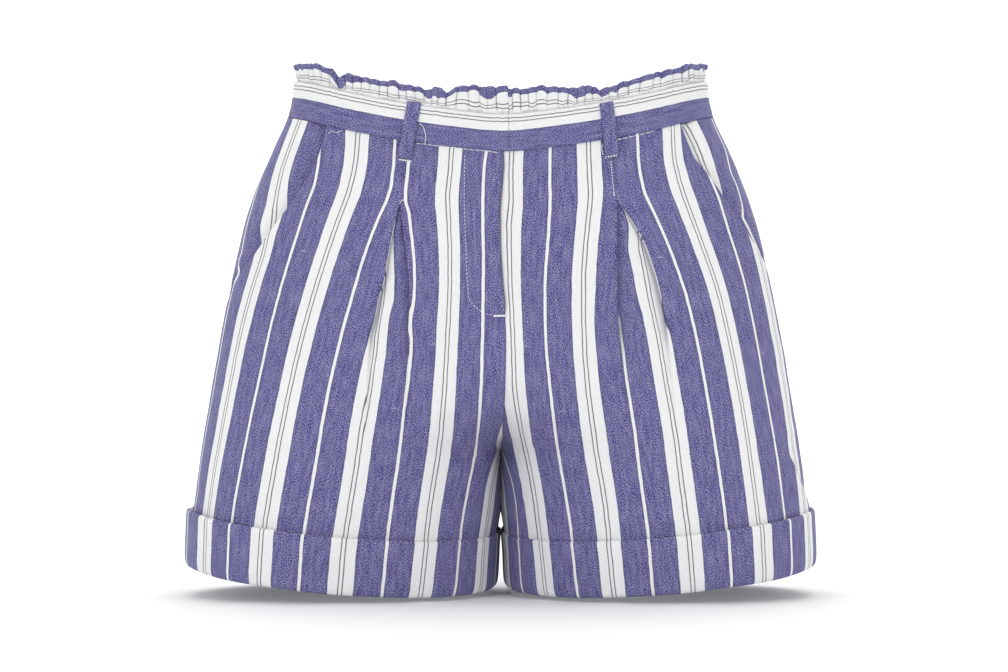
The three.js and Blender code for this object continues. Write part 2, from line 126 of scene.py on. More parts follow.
paper, paper_tree, paper_surface = blank_look("paper")
paper_place = shade("ShaderNodeTexCoord", paper_tree).outputs["Object"]
paper_grain = shade("ShaderNodeTexNoise", paper_tree, Vector=paper_place, Scale=900).outputs["Fac"]
paper_colour = tint(paper_tree, paper_grain, (0.86, 0.86, 0.86, 1), (0.9, 0.9, 0.9, 1))
wire(paper_tree, paper_surface, Base_Color=paper_colour, Roughness=0.9)
paper_sweep.data.materials.append(paper)

studio = bpy.data.worlds.new("studio")
studio.use_nodes = True
wire(studio.node_tree, studio.node_tree.nodes["Background"], Color=(1, 1, 1, 1), Strength=0.8)
bpy.context.scene.world = studio
# where each light stands and what it faces, then its size in metres and its power in watts
for place, towards, size, power in (
    ((-1.7, -2.3, 0.7), (0, 0, -0.2), 1.8, 17),
    ((1.9, -2.2, 0.5), (0, 0, -0.2), 1.8, 12),
    ((0, 0.9, 1.9), (0, 0, -0.3), 2.4, 34),
    ((0, 1.0, 1.6), (0, 4.2, 1.4), 2.4, 60),
):
    bpy.ops.object.light_add(type="AREA", location=place)
    lamp = bpy.context.object
    lamp.data.size = size
    lamp.data.energy = power
    lamp.rotation_euler = (Vector(towards) - lamp.location).to_track_quat("-Z", "Y").to_euler()


# ---------------------------------------------------------------------------------------------
# Front panels: light woven cotton in blue and white stripes, cut with the stripes down the leg.
# Each has a pleat stitched down from the waist and let out below, and the wearer's right one
# laps over the left at the fly. All the cloth lies on one form, given here by height in mm.
def curve(xs, ys):
    """A smooth line through a table's values that never swings past them."""
    x, y = np.array(xs, float), np.array(ys, float)
    if x[0] > x[-1]:
        x, y = x[::-1], y[::-1]
    slope = np.diff(y) / np.diff(x)
    both = slope[:-1] * slope[1:]
    middle = np.where(both > 0, 2 * both / np.where(both > 0, slope[:-1] + slope[1:], 1), 0)
    tangent = np.concatenate([slope[:1], middle, slope[-1:]])

    def value(q):
        q = np.clip(q, x[0], x[-1])
        i = np.clip(np.searchsorted(x, q, side="right") - 1, 0, len(x) - 2)
        span = x[i + 1] - x[i]
        t = (q - x[i]) / span
        return (
            y[i] * (2 * t**3 - 3 * t**2 + 1)
            + tangent[i] * span * (t**3 - 2 * t**2 + t)
            + y[i + 1] * (3 * t**2 - 2 * t**3)
            + tangent[i + 1] * span * (t**3 - t**2)
        )

    return value


# height, half width, front, back, roundness front and back, leg front and back, inside of the leg
FORM = [
    (30, 139.6, -67, 76, 2.7, 2.4, 0, 0, 0),
    (15, 139.4, -67.5, 77, 2.7, 2.4, 0, 0, 0),
    (0, 140.2, -68.5, 78, 2.7, 2.4, 0, 0, 0),
    (-13.6, 143.6, -70, 80, 2.7, 2.4, 0, 0, 0),
    (-34, 152.6, -76, 90, 2.65, 2.4, 0, 0, 0),
    (-51, 160.3, -80.5, 98, 2.6, 2.4, 0, 0, 0),
    (-68, 167, -84, 106, 2.55, 2.4, 0, 0, 0),
    (-85, 172.5, -86.5, 112, 2.5, 2.4, 0, 0, 0),
    (-102, 176.6, -88, 117, 2.45, 2.4, 0.02, 0.03, 0),
    (-136, 183.8, -89.5, 121, 2.4, 2.35, 0.12, 0.16, 0),
    (-163, 189, -89, 119, 2.35, 2.3, 0.3, 0.36, 0),
    (-186, 193, -88, 114, 2.3, 2.3, 0.56, 0.6, 0),
    (-204, 196.2, -87.2, 109, 2.3, 2.3, 0.84, 0.84, 0),
    (-213, 197.6, -86.8, 107, 2.3, 2.3, 0.955, 0.955, 0),
    (-220, 198.8, -86.5, 105, 2.3, 2.3, 1, 1, 0),
    (-236, 201.4, -86, 102, 2.3, 2.3, 1, 1, 0),
    (-256, 204.2, -85.5, 99.9, 2.3, 2.3, 1, 1, 0.2),
    (-282, 207.2, -85, 98, 2.3, 2.3, 1, 1, 3.6),
    (-318, 211.4, -84.5, 96, 2.3, 2.3, 1, 1, 5),
]


def curves(rows):
    """A smooth line for each later column of a table, by its first."""
    return [curve([r[0] for r in rows], [r[k] for r in rows]) for k in range(1, len(rows[0]))]


FORM_COLUMNS = ("width", "front", "back", "round_front", "round_back", "leg_front", "leg_back", "inner")
form_of = dict(zip(FORM_COLUMNS, curves(FORM)))
WAIST_SEAM, HEM = -13.6, -312.5
SEAM = 0.15  # half the gap between two panels
CROTCH_BACK, SIDE_SEAM_FORWARD = 15, 3
WAIST_DIP, HEM_DIP = 25.4, 18.4
# how much of the dip at the waist, and at the hem, by share of the half width from the centre
SHARE = [0, 0.06, 0.2, 0.4, 0.55, 0.7, 0.87, 1]
fall_of = {
    "front": (
        curve(SHARE, [1, 0.99, 0.91, 0.76, 0.61, 0.43, 0.18, 0]),
        curve(SHARE, [0.78, 0.97, 1, 0.9, 0.78, 0.58, 0.32, 0]),
    ),
    "back": (
        curve(SHARE, [0.66, 0.65, 0.62, 0.52, 0.42, 0.29, 0.12, 0]),
        curve(SHARE, [0.78, 0.77, 0.74, 0.64, 0.54, 0.4, 0.22, 0]),
    ),
}
centre_line = curve(
    [-10, -40, -58, -80, -95, -125, -148, -165, -200, -225, -240],
    [1.6, 1.8, 0.7, -1, -0.9, 0.8, 3, 3.6, 2.6, 1.2, 0],
)


def ease(t):
    t = np.clip(t, 0, 1)
    return t * t * (3 - 2 * t)


def unit(vectors):
    return vectors / np.maximum(np.linalg.norm(vectors, axis=-1, keepdims=True), 1e-9)


def measured(points):
    """How far along a path each of its points is."""
    return np.concatenate([[0], np.cumsum(np.linalg.norm(np.diff(points, axis=0), axis=1))])


def growing(values, first=0, step=1e-6):
    """Values that never fall, each a touch above the last, so that places can be looked up in them."""
    return np.maximum.accumulate(values + np.arange(first, first + len(values)) * step)


def fall(half, share, z):
    """How far a point hangs below its row's height at the side seam."""
    down = min(1, max(0, (WAIST_SEAM - z) / (WAIST_SEAM - HEM)))
    waist, hem = fall_of[half]
    return waist(share) * WAIST_DIP * (1 - down) + hem(share) * HEM_DIP * down


rows_made = {}


def row(side, half, z):
    """One level line of one half of the form, from the centre or inside leg to the side seam."""
    key = (side, half, round(z, 3))
    if key not in rows_made:
        leg, width = float(form_of["leg_" + half](z)), float(form_of["width"](z))
        bend, depth = float(form_of["round_" + half](z)), float(form_of[half](z))
        half_width = (width - SEAM - float(form_of["inner"](z))) / (1 + leg)
        angle = math.acos(-(min(1, max(0, leg)) ** (bend / 2))) * (1 - np.arange(401) / 400)
        c, s = np.cos(angle), np.sin(angle)
        x = width - half_width + half_width * np.sign(c) * np.abs(c) ** (2 / bend)
        share = np.clip(x / width, 0, 1)
        y = CROTCH_BACK * leg * leg * (1 - share) - SIDE_SEAM_FORWARD * share
        y = y + (depth - (CROTCH_BACK * leg * leg - SIDE_SEAM_FORWARD) / 2) * np.abs(s) ** (2 / bend)
        high = z - fall(half, share, z)
        wander = centre_line(high) * np.clip(1 - x / 60, 0, 1) if half == "front" else 0
        points = np.stack([(1 if side == "left" else -1) * x + wander, y, high], -1)
        rows_made[key] = (points, measured(points))
    return rows_made[key]


def reach(side, half, z, out):
    """How far along a row it comes to a distance out from the centre, on its way to the side."""
    points, along = row(side, half, z)
    low = int(np.argmin(np.abs(points[:, 0])))
    return float(np.interp(out, growing(np.abs(points[:, 0]), step=1e-7)[low:], along[low:]))


def reaches(side, half, heights, outs):
    return np.array([reach(side, half, z, out) for z, out in zip(heights, outs)])


def begins(half, heights):
    """Where each row of a panel begins: at the centre line, or a little inside it once the legs part."""
    return SEAM * ease((form_of["leg_" + half](heights) - 0.9) / 0.08)


def ends(side, half, heights, short=SEAM):
    """Where each row of a panel ends, a little short of the side seam."""
    return np.array([row(side, half, z)[1][-1] - short for z in heights])


def lay(side, half, heights, distances):
    """Points of the form, and its outward normals, for rows of distances along it."""
    places = np.zeros(distances.shape + (3,))
    for i, z in enumerate(heights):
        points, along = row(side, half, z)
        for k in range(3):
            places[i, :, k] = np.interp(distances[i], along, points[:, k])
    normal = unit(np.cross(np.gradient(places, axis=1), np.gradient(places, axis=0)))
    towards = -1 if half == "front" else 1
    return places, normal * np.sign(np.median(normal[..., 1]) or 1) * towards


def cloth(name, places, across, along, thickness, look, inside, after=None, tucked=None):
    """A sheet from rows of points in mm, with its place across and along the cloth as its UV.
    inside is a point on its inner side. after is the place across as the strip to the right of each column
    has it, where cloth is folded away, and tucked is how much painted shade darkens each point, 0 to 1."""
    after = across if after is None else after
    tucked = np.zeros(across.shape) if tucked is None else tucked
    normal = np.cross(np.gradient(places, axis=1), np.gradient(places, axis=0))
    if (normal * (places - np.array(inside))).sum() > 0:
        places, across, after, along, tucked = (q[::-1] for q in (places, across, after, along, tucked))
    rows, cols = places.shape[:2]
    bpy.ops.object.select_all(action="DESELECT")
    bpy.ops.mesh.primitive_grid_add(x_subdivisions=cols - 1, y_subdivisions=rows - 1, size=1)
    piece = bpy.context.object
    piece.name = name
    mesh = piece.data
    mesh.vertices.foreach_set("co", (places / 1000).reshape(-1).astype(np.float32))
    corner = np.zeros(len(mesh.loops), np.int32)
    mesh.loops.foreach_get("vertex_index", corner)
    corner = corner.reshape(-1, 4)
    r, c = corner // cols, corner % cols
    first = c == c.min(axis=1, keepdims=True)
    place = np.stack([np.where(first, after[r, c], across[r, c]), along[r, c]], -1) / 1000
    mesh.uv_layers[0].name = "cloth"
    mesh.uv_layers[0].data.foreach_set("uv", place.reshape(-1).astype(np.float32))
    # painted shade: how dark each point is in creases and under folds, kept as a point attribute for the material
    painted_shade_data = mesh.attributes.new("tucked", "FLOAT", "POINT").data
    painted_shade_data.foreach_set("value", tucked.reshape(-1).astype(np.float32))
    mesh.update()
    wall = piece.modifiers.new("wall", "SOLIDIFY")
    wall.thickness = thickness / 1000
    wall.offset = -1
    wall.use_even_offset = False
    bpy.ops.object.modifier_apply(modifier="wall")
    bpy.ops.object.shade_smooth()
    mesh.materials.append(look)
    return piece


def reckon(tree, operation, *values):
    """A Math node's result, from numbers or sockets."""
    places = {"in%d" % i: value for i, value in enumerate(values)}
    return shade("ShaderNodeMath", tree, operation=operation, **places).outputs[0]


def new_group(name, takes, gives):
    """A node group with its named inputs and outputs: the group, what it is given, and its end."""
    group = bpy.data.node_groups.new(name, "ShaderNodeTree")
    for way, sockets in (("INPUT", takes), ("OUTPUT", gives)):
        for socket, kind in sockets.items():
            group.interface.new_socket(socket, in_out=way, socket_type="NodeSocket" + kind)
    return group, group.nodes.new("NodeGroupInput").outputs, group.nodes.new("NodeGroupOutput")


def woven_group():
    """The weave of the cotton: a fine speckle of light and dark threads in short slanting ripples that
    change their way every centimetre, with paler streaks, a few thick threads and a soft crinkle."""
    group, given, end = new_group(
        "woven cotton", {"Place": "Vector"}, {"Threads": "Float", "Slubs": "Float", "Relief": "Float"}
    )
    place = given["Place"]

    def calc(operation, *values):
        return reckon(group, operation, *values)

    def cloud(scale, detail, vector=place):
        return shade("ShaderNodeTexNoise", group, Vector=vector, Scale=scale, Detail=detail).outputs

    def long_cloud(scale, detail):
        stretched = shade("ShaderNodeMapping", group, Vector=place, Scale=scale).outputs["Vector"]
        return cloud(1, detail, stretched)["Fac"]

    moved = shade(
        "ShaderNodeVectorMath", group, operation="MULTIPLY_ADD",
        in0=cloud(110, 1)["Color"], in1=(0.0062, 0.0062, 0), in2=place,
    )
    split = shade("ShaderNodeSeparateXYZ", group, Vector=moved.outputs["Vector"]).outputs
    x, y = split["X"], split["Y"]
    rising = calc("SINE", calc("MULTIPLY", calc("ADD", x, y), 2900))
    falling = calc("SINE", calc("MULTIPLY", calc("SUBTRACT", x, y), 2700))
    level = calc("SINE", calc("MULTIPLY", y, 4100))
    lean = shade(
        "ShaderNodeMapRange", group, interpolation_type="SMOOTHSTEP",
        Value=cloud(120, 1)["Fac"], From_Min=0.44, From_Max=0.56,
    )
    ripple = calc("MULTIPLY_ADD", lean.outputs["Result"], calc("SUBTRACT", rising, falling), falling)
    ripple = calc("MULTIPLY_ADD", level, 0.45, ripple)
    threads = calc("MULTIPLY_ADD", calc("SUBTRACT", cloud(1500, 1)["Fac"], 0.5), 4.2, 0.44)
    threads = calc("MULTIPLY_ADD", ripple, 0.24, threads)
    streaks = calc("SUBTRACT", long_cloud((420, 75, 1), 2), 0.5)
    threads = calc("MULTIPLY_ADD", streaks, 1.3, threads)
    threads = calc("MAXIMUM", calc("MINIMUM", threads, 1), 0)
    slubs = calc("MULTIPLY_ADD", long_cloud((70, 900, 1), 1), 9, -6.75)
    slubs = calc("MAXIMUM", calc("MINIMUM", slubs, 1), 0)
    relief = calc("MULTIPLY_ADD", cloud(190, 3)["Fac"], 0.8, threads)
    wire(group, end, Threads=threads, Slubs=slubs, Relief=relief)
    return group


WOVEN = woven_group()
# the stripes in metres: from the middle of a wide white one to the middle of a narrow one, half of each,
# and where a fine line lies in the wide one
HALF_REPEAT, WIDE_HALF, NARROW_HALF, LINE_OUT, LINE_HALF = 0.0265, 0.0081, 0.00105, 0.00135, 0.00038


def striped_group():
    """The stripes across the cloth: a wide white one with two fine lines, blue, and a narrow white one, and
    painted shade.
    """
    colours = ("Blue", "Pale Blue", "White", "Line", "Edge")
    group, given, end = new_group(
        "woven stripes",
        {"Place": "Vector", **{name: "Color" for name in colours}, "Tucked": "Float"},
        {"Color": "Color", "Relief": "Float", "Roughness": "Float"},
    )
    weave = shade("ShaderNodeGroup", group, node_tree=WOVEN, Place=given["Place"]).outputs
    x = shade("ShaderNodeSeparateXYZ", group, Vector=given["Place"]).outputs["X"]
    wobble = shade("ShaderNodeTexNoise", group, Vector=given["Place"], Scale=120, Detail=2).outputs["Fac"]

    def calc(operation, *values):
        return reckon(group, operation, *values)

    repeat = calc("PINGPONG", calc("ADD", x, calc("MULTIPLY_ADD", wobble, 0.0008, -0.0004)), HALF_REPEAT)

    def band(centre, half, edge):
        """1 inside a stripe, and 0 outside it, with a soft woven edge."""
        return shade(
            "ShaderNodeMapRange", group, interpolation_type="SMOOTHSTEP",
            Value=calc("ABSOLUTE", calc("SUBTRACT", repeat, centre)),
            From_Min=half - edge, From_Max=half + edge, To_Min=1, To_Max=0,
        ).outputs["Result"]

    def blend(amount, below, above, **settings):
        values = {"in0": amount, "in6": below, "in7": above}
        return shade("ShaderNodeMix", group, data_type="RGBA", **settings, **values).outputs[2]

    white = calc("MAXIMUM", band(0, WIDE_HALF, 0.00022), band(HALF_REPEAT, NARROW_HALF, 0.0002))
    narrow_rim = band(HALF_REPEAT, NARROW_HALF + 0.00065, 0.0003)
    rim = calc("MAXIMUM", band(0, WIDE_HALF + 0.0007, 0.0003), narrow_rim)
    line = calc("MULTIPLY", band(LINE_OUT, LINE_HALF, 0.00018), 0.95)
    blue = blend(weave["Threads"], given["Blue"], given["Pale Blue"])
    blue = blend(calc("MULTIPLY", weave["Slubs"], 0.6), blue, given["White"])
    blue = blend(calc("MULTIPLY", rim, 0.5), blue, given["Edge"])
    colour = blend(white, blue, blend(line, given["White"], given["Line"]))
    # painted shade: the cloth darkens towards the edge colour where its sheet asks for it, in creases and under
    # folds
    colour = blend(calc("MULTIPLY", given["Tucked"], 0.8), colour, given["Edge"])
    level = calc("MULTIPLY_ADD", weave["Threads"], 0.1, 0.94)
    grey = shade("ShaderNodeCombineColor", group, in0=level, in1=level, in2=level).outputs["Color"]
    roughness = calc("MULTIPLY_ADD", weave["Threads"], 0.15, 0.78)
    shaded = blend(1, colour, grey, blend_type="MULTIPLY")
    wire(group, end, Color=shaded, Relief=weave["Relief"], Roughness=roughness)
    return group


STRIPES = striped_group()
# Edge is the dark blue at the rims of the white stripes, and also the colour of the painted shade
COLOURS = {
    "Blue": (0.046, 0.04, 0.18, 1), "Pale_Blue": (0.26, 0.25, 0.435, 1), "White": (0.79, 0.79, 0.795, 1),
    "Line": (0.12, 0.12, 0.14, 1), "Edge": (0.06, 0.058, 0.13, 1),
}


def striped_cloth(name, start=0.0):
    """The shorts' cloth, with the place of its first wide white stripe in mm."""
    look, tree, surface = blank_look(name)
    place = shade("ShaderNodeUVMap", tree, uv_map="cloth").outputs["UV"]
    place = shade("ShaderNodeMapping", tree, Vector=place, Location=(-start / 1000, 0, 0)).outputs["Vector"]
    # the sheet's painted shade, read from its point attribute
    tucked = shade("ShaderNodeAttribute", tree, attribute_name="tucked").outputs["Fac"]
    stripes = shade("ShaderNodeGroup", tree, node_tree=STRIPES, Place=place, Tucked=tucked, **COLOURS).outputs
    bump = shade("ShaderNodeBump", tree, Height=stripes["Relief"], Distance=0.00006, Strength=0.8)
    wire(
        tree, surface, Base_Color=stripes["Color"], Roughness=stripes["Roughness"],
        Normal=bump.outputs["Normal"], Sheen_Weight=0.12, Sheen_Roughness=0.5, Specular_IOR_Level=0.2,
    )
    return look


STRIPE_START = {"right": 34.0, "left": 6.5}
SIDES = ("right", "left")
FRONT_LOOKS = {side: striped_cloth("striped_cotton_front_" + side, STRIPE_START[side]) for side in SIDES}

# The pleat's two folded edges by height: where each stands, the place across the cloth of its flap and of
# the cloth under it, and how far the cloth between them is sunk.
# height, inner x, flap, under, outer x, under, flap, sunk
PLEATS = {
    "right": [
        (-13.6, 62.6, 63, 85, 63.4, 85, 107, 0.5),
        (-26, 63.0, 63, 85, 63.8, 85, 107, 0.5),
        (-42.6, 64.5, 63, 84, 65.3, 84, 107, 0.6),
        (-52.4, 65.0, 63.1, 74, 65.9, 75, 105.3, 1.2),
        (-60.4, 64.3, 64.8, 74, 68.2, 78, 104, 2.4),
        (-69, 63.3, 65.1, 72.3, 70.4, 79.5, 102.3, 3.2),
        (-79, 61.9, 65.1, 70.7, 72.4, 81.2, 100.3, 3.8),
        (-93, 59.9, 64.6, 69.1, 75.0, 84.1, 97.8, 4.0),
        (-105, 58.9, 63.8, 68.3, 76.8, 86.3, 95.9, 3.9),
        (-118.5, 58.5, 62.7, 66.5, 80.4, 90.1, 95.9, 3.4),
        (-131.5, 59.1, 61, 62, 83.0, 91.3, 95.2, 2.8),
        (-146, 59.8, 62.4, 62.4, 86.3, 92.7, 94.8, 2.0),
        (-170, 60.5, 60.7, 60.7, 87.5, 90.5, 90.5, 1.0),
        (-220, 64, 57.8, 57.8, 90, 84, 84, 0),
        (-283, 70, 55.2, 55.2, 97, 81.5, 81.5, 0),
        (-313, 73, 55, 55, 100, 81, 81, 0),
    ],
    "left": [
        (-13.6, 73.2, 75, 98, 74.0, 98, 121, 0.5),
        (-27.6, 73.6, 75, 98, 74.4, 98, 121, 0.5),
        (-44, 75.1, 75.5, 98, 75.9, 98, 121.4, 0.6),
        (-53.9, 75.4, 75.9, 98, 76.8, 99.5, 121.4, 1.4),
        (-62, 75.4, 77.2, 99, 82.4, 105.6, 121.8, 2.4),
        (-71, 75.3, 77.9, 95.8, 88.2, 108.6, 123.3, 3.2),
        (-80, 75.3, 78.9, 95.7, 93.2, 113.5, 124.5, 3.8),
        (-89, 75.2, 79.5, 95.2, 97.0, 116.9, 124.3, 4.2),
        (-98, 75.2, 80.1, 93.3, 99.9, 118, 123.9, 4.3),
        (-107.5, 75.2, 80.7, 91.8, 103, 119.4, 124, 4.0),
        (-121, 75.1, 82.7, 88.6, 106.1, 120.6, 122.9, 3.2),
        (-132, 76.1, 85, 85, 108.5, 121.6, 121.9, 2.6),
        (-145, 77, 84.3, 84.3, 110, 120, 120, 2.0),
        (-170, 79, 83.1, 83.1, 112, 117.5, 117.5, 1.0),
        (-220, 84, 80.3, 80.3, 117, 114.2, 114.2, 0),
        (-283, 92, 80.2, 80.2, 125, 114.2, 114.2, 0),
        (-313, 95, 80, 80, 128, 114, 114, 0),
    ],
}
pleat_of = {side: curves(rows) for side, rows in PLEATS.items()}

# Where stripes cross each height, as distances out from the centre: inside the pleat, and outside it.
STRIPE_ROWS = [-14, -30, -48, -66, -84, -102, -122, -145, -170, -195, -220, -245, -265, -283]
STRIPES_IN = {
    "right": {
        -19: [-17, -16, -16, -16, -16, -16, -15, -15, -14, -10, 1.2, 7.2, 9.8, 12.6],
        7.5: [9.5, 11.1, 11.7, 11.8, 11.3, 11.5, 11.7, 12.1, 12.8, 14.5, 18.3, 22.9, 26.4, 28.3],
        34: [32.0, 33.0, 34.5, 33.7, 33.1, 33.1, 33.7, 34.9, 36.3, 38.5, 42.0, 45.8, 48.5, 50.3],
    },
    "left": {
        -20: [-19, -19, -19, -19, -19, -19, -18, -18, -15, -8, 2.0, 10.0, 12.3, 13.2],
        -1.6: [-0.7, -1.2, -1.1, -2.4, -2.2, -1.8, -0.7, 0.3, 1.2, 4.7, 10.5, 15.2, 18, 20],
        6.5: [7.4, 6.9, 7.0, 5.7, 5.9, 6.3, 7.4, 8.4, 9.3, 12.8, 18.6, 23.1, 25.7, 27.8],
        33: [32.7, 32.4, 32.4, 31.6, 30.3, 29.1, 28.9, 29.7, 32.1, 35.0, 39.1, 43.2, 46.3, 48.4],
        59.5: [57.8, 58.1, 58.8, 57.1, 55.3, 54.1, 54.1, 54.7, 56.5, 59.5, 63.4, 67.6, 70.2, 72.0],
    },
}
STRIPES_OUT = {
    "right": {
        140: [93.9, 95.0, 98.4, 104.3, 110.6, 116.3, 122.3, 128.6, 134.7, 139.8, 144.6, 149.1, 152.6, 155.1],
        166.5: [
            121.5, 119.7, 121.6, 127.6, 133.4, 139.0, 144.7, 150.6, 156.0, 161.2, 166.1, 170.9, 174.6,
            177.2,
        ],
        193: [
            133.3, 139.1, 145.0, 148.9, 152.8, 156.9, 163.2, 169.6, 175.1, 179.5, 183.9, 188.6, 191.6,
            194.2,
        ],
    },
    "left": {
        139: [90.1, 90.7, 93.4, 100.6, 108.2, 115.0, 121.4, 127.0, 131.8, 136.0, 139.9, 143.7, 146.4, 148.4],
        165.5: [
            113.8, 114.2, 117.4, 123.1, 129.6, 136.0, 142.5, 148.1, 153.3, 157.6, 161.4, 164.9, 167.5,
            169.8,
        ],
        192: [
            131.5, 133.5, 137.4, 144.5, 149.8, 155.6, 161.2, 166.3, 170.9, 174.9, 179.0, 183.1, 185.6,
            187.8,
        ],
    },
}
# the slanted pocket edge by height, as a distance out from the centre as a share of the half width
POCKET_EDGE = {
    "right": curve([-13.6, -34, -61, -79, -100, -123, -142], [0.8, 0.788, 0.817, 0.861, 0.912, 0.974, 1]),
    "left": curve(
        [-13.6, -34, -48.5, -63.5, -74, -88, -100, -111, -124],
        [0.829, 0.83, 0.859, 0.888, 0.909, 0.939, 0.963, 0.986, 1],
    ),
}


def pocket_edge(side, z):
    seam, share = row(side, "front", z)[1][-1] - SEAM, float(POCKET_EDGE[side](z))
    return seam if share > 0.9995 else min(seam, reach(side, "front", z, share * float(form_of["width"](z))))


def uneven(points, size, seed):
    """Soft unevenness of hanging cloth, from -1 to 1, at places in mm."""
    shift, flat = Vector((seed, 3.7 * seed, 1.9)), points.reshape(-1, 3) / size
    return np.array([noise.noise(Vector(p) + shift) for p in flat]).reshape(points.shape[:-1])


def creased(z, x, lines):
    """Soft ridges and troughs, listed: each from one place to another, with its width and height in mm."""
    out = np.zeros(z.shape)
    for z0, x0, z1, x1, wide, high in lines:
        length = math.hypot(z1 - z0, x1 - x0)
        t = ((z - z0) * (z1 - z0) + (x - x0) * (x1 - x0)) / length**2
        off = ((z - z0) * (x1 - x0) - (x - x0) * (z1 - z0)) / length
        out += high * np.exp(-((off / wide) ** 2)) * ease(np.minimum(t, 1 - t) * 4 + 0.4)
    return out


# height and place out from the centre at both ends of each crease, its width, and how far it stands out
FRONT_CREASES = {
    "right": [
        (-150, 58, -205, 40, 7, -1.0),
        (-170, 20, -215, 12, 6, -0.9),
        (-205, 30, -222, 6, 5, 0.9),
        (-120, 150, -240, 172, 9, -0.8),
        (-215, 186, -300, 197, 5, -0.9),
        (-230, 110, -300, 116, 12, 0.7),
        (-60, 100, -130, 122, 10, 0.6),
        (-190, 66, -260, 74, 8, -0.8),
        (-44, 9.2, -142, 9.6, 1.7, -0.55),
        (-30, 23.6, -132, 22.6, 1.3, -0.45),
    ],
    "left": [
        (-150, 56, -205, 36, 7, -1.0),
        (-176, 18, -216, 10, 6, -0.9),
        (-202, 34, -222, 6, 5, 0.9),
        (-125, 140, -230, 168, 9, -0.8),
        (-228, 120, -300, 126, 12, 0.7),
        (-62, 104, -128, 128, 10, 0.6),
        (-190, 70, -270, 84, 8, -0.8),
    ],
}
side_fold = curve([-222, -228.4, -237.2, -252.1, -274.8, -292], [176, 181.3, 188.6, 196.1, 204.1, 207])
PANEL_HEIGHTS = np.concatenate([[-12.4, -13.2], np.linspace(-13.9, HEM + 0.6, 186)])


def settled(push, z, distances):
    """A panel's relief, calm at the inside leg, low under the cuff, and pushed in under the band."""
    thigh = ease((-z - 214) / 8) * ease(1 - distances / 14)
    push = push * (1 - thigh) + thigh * 0.12 * ease((z + 262) / 6)
    push[-6:] *= np.linspace(1, 0.2, 6)[:, None]
    push[:8] *= np.linspace(0.1, 1, 8)[:, None]
    push[:2] -= np.array([0.9, 0.4])[:, None]
    return push


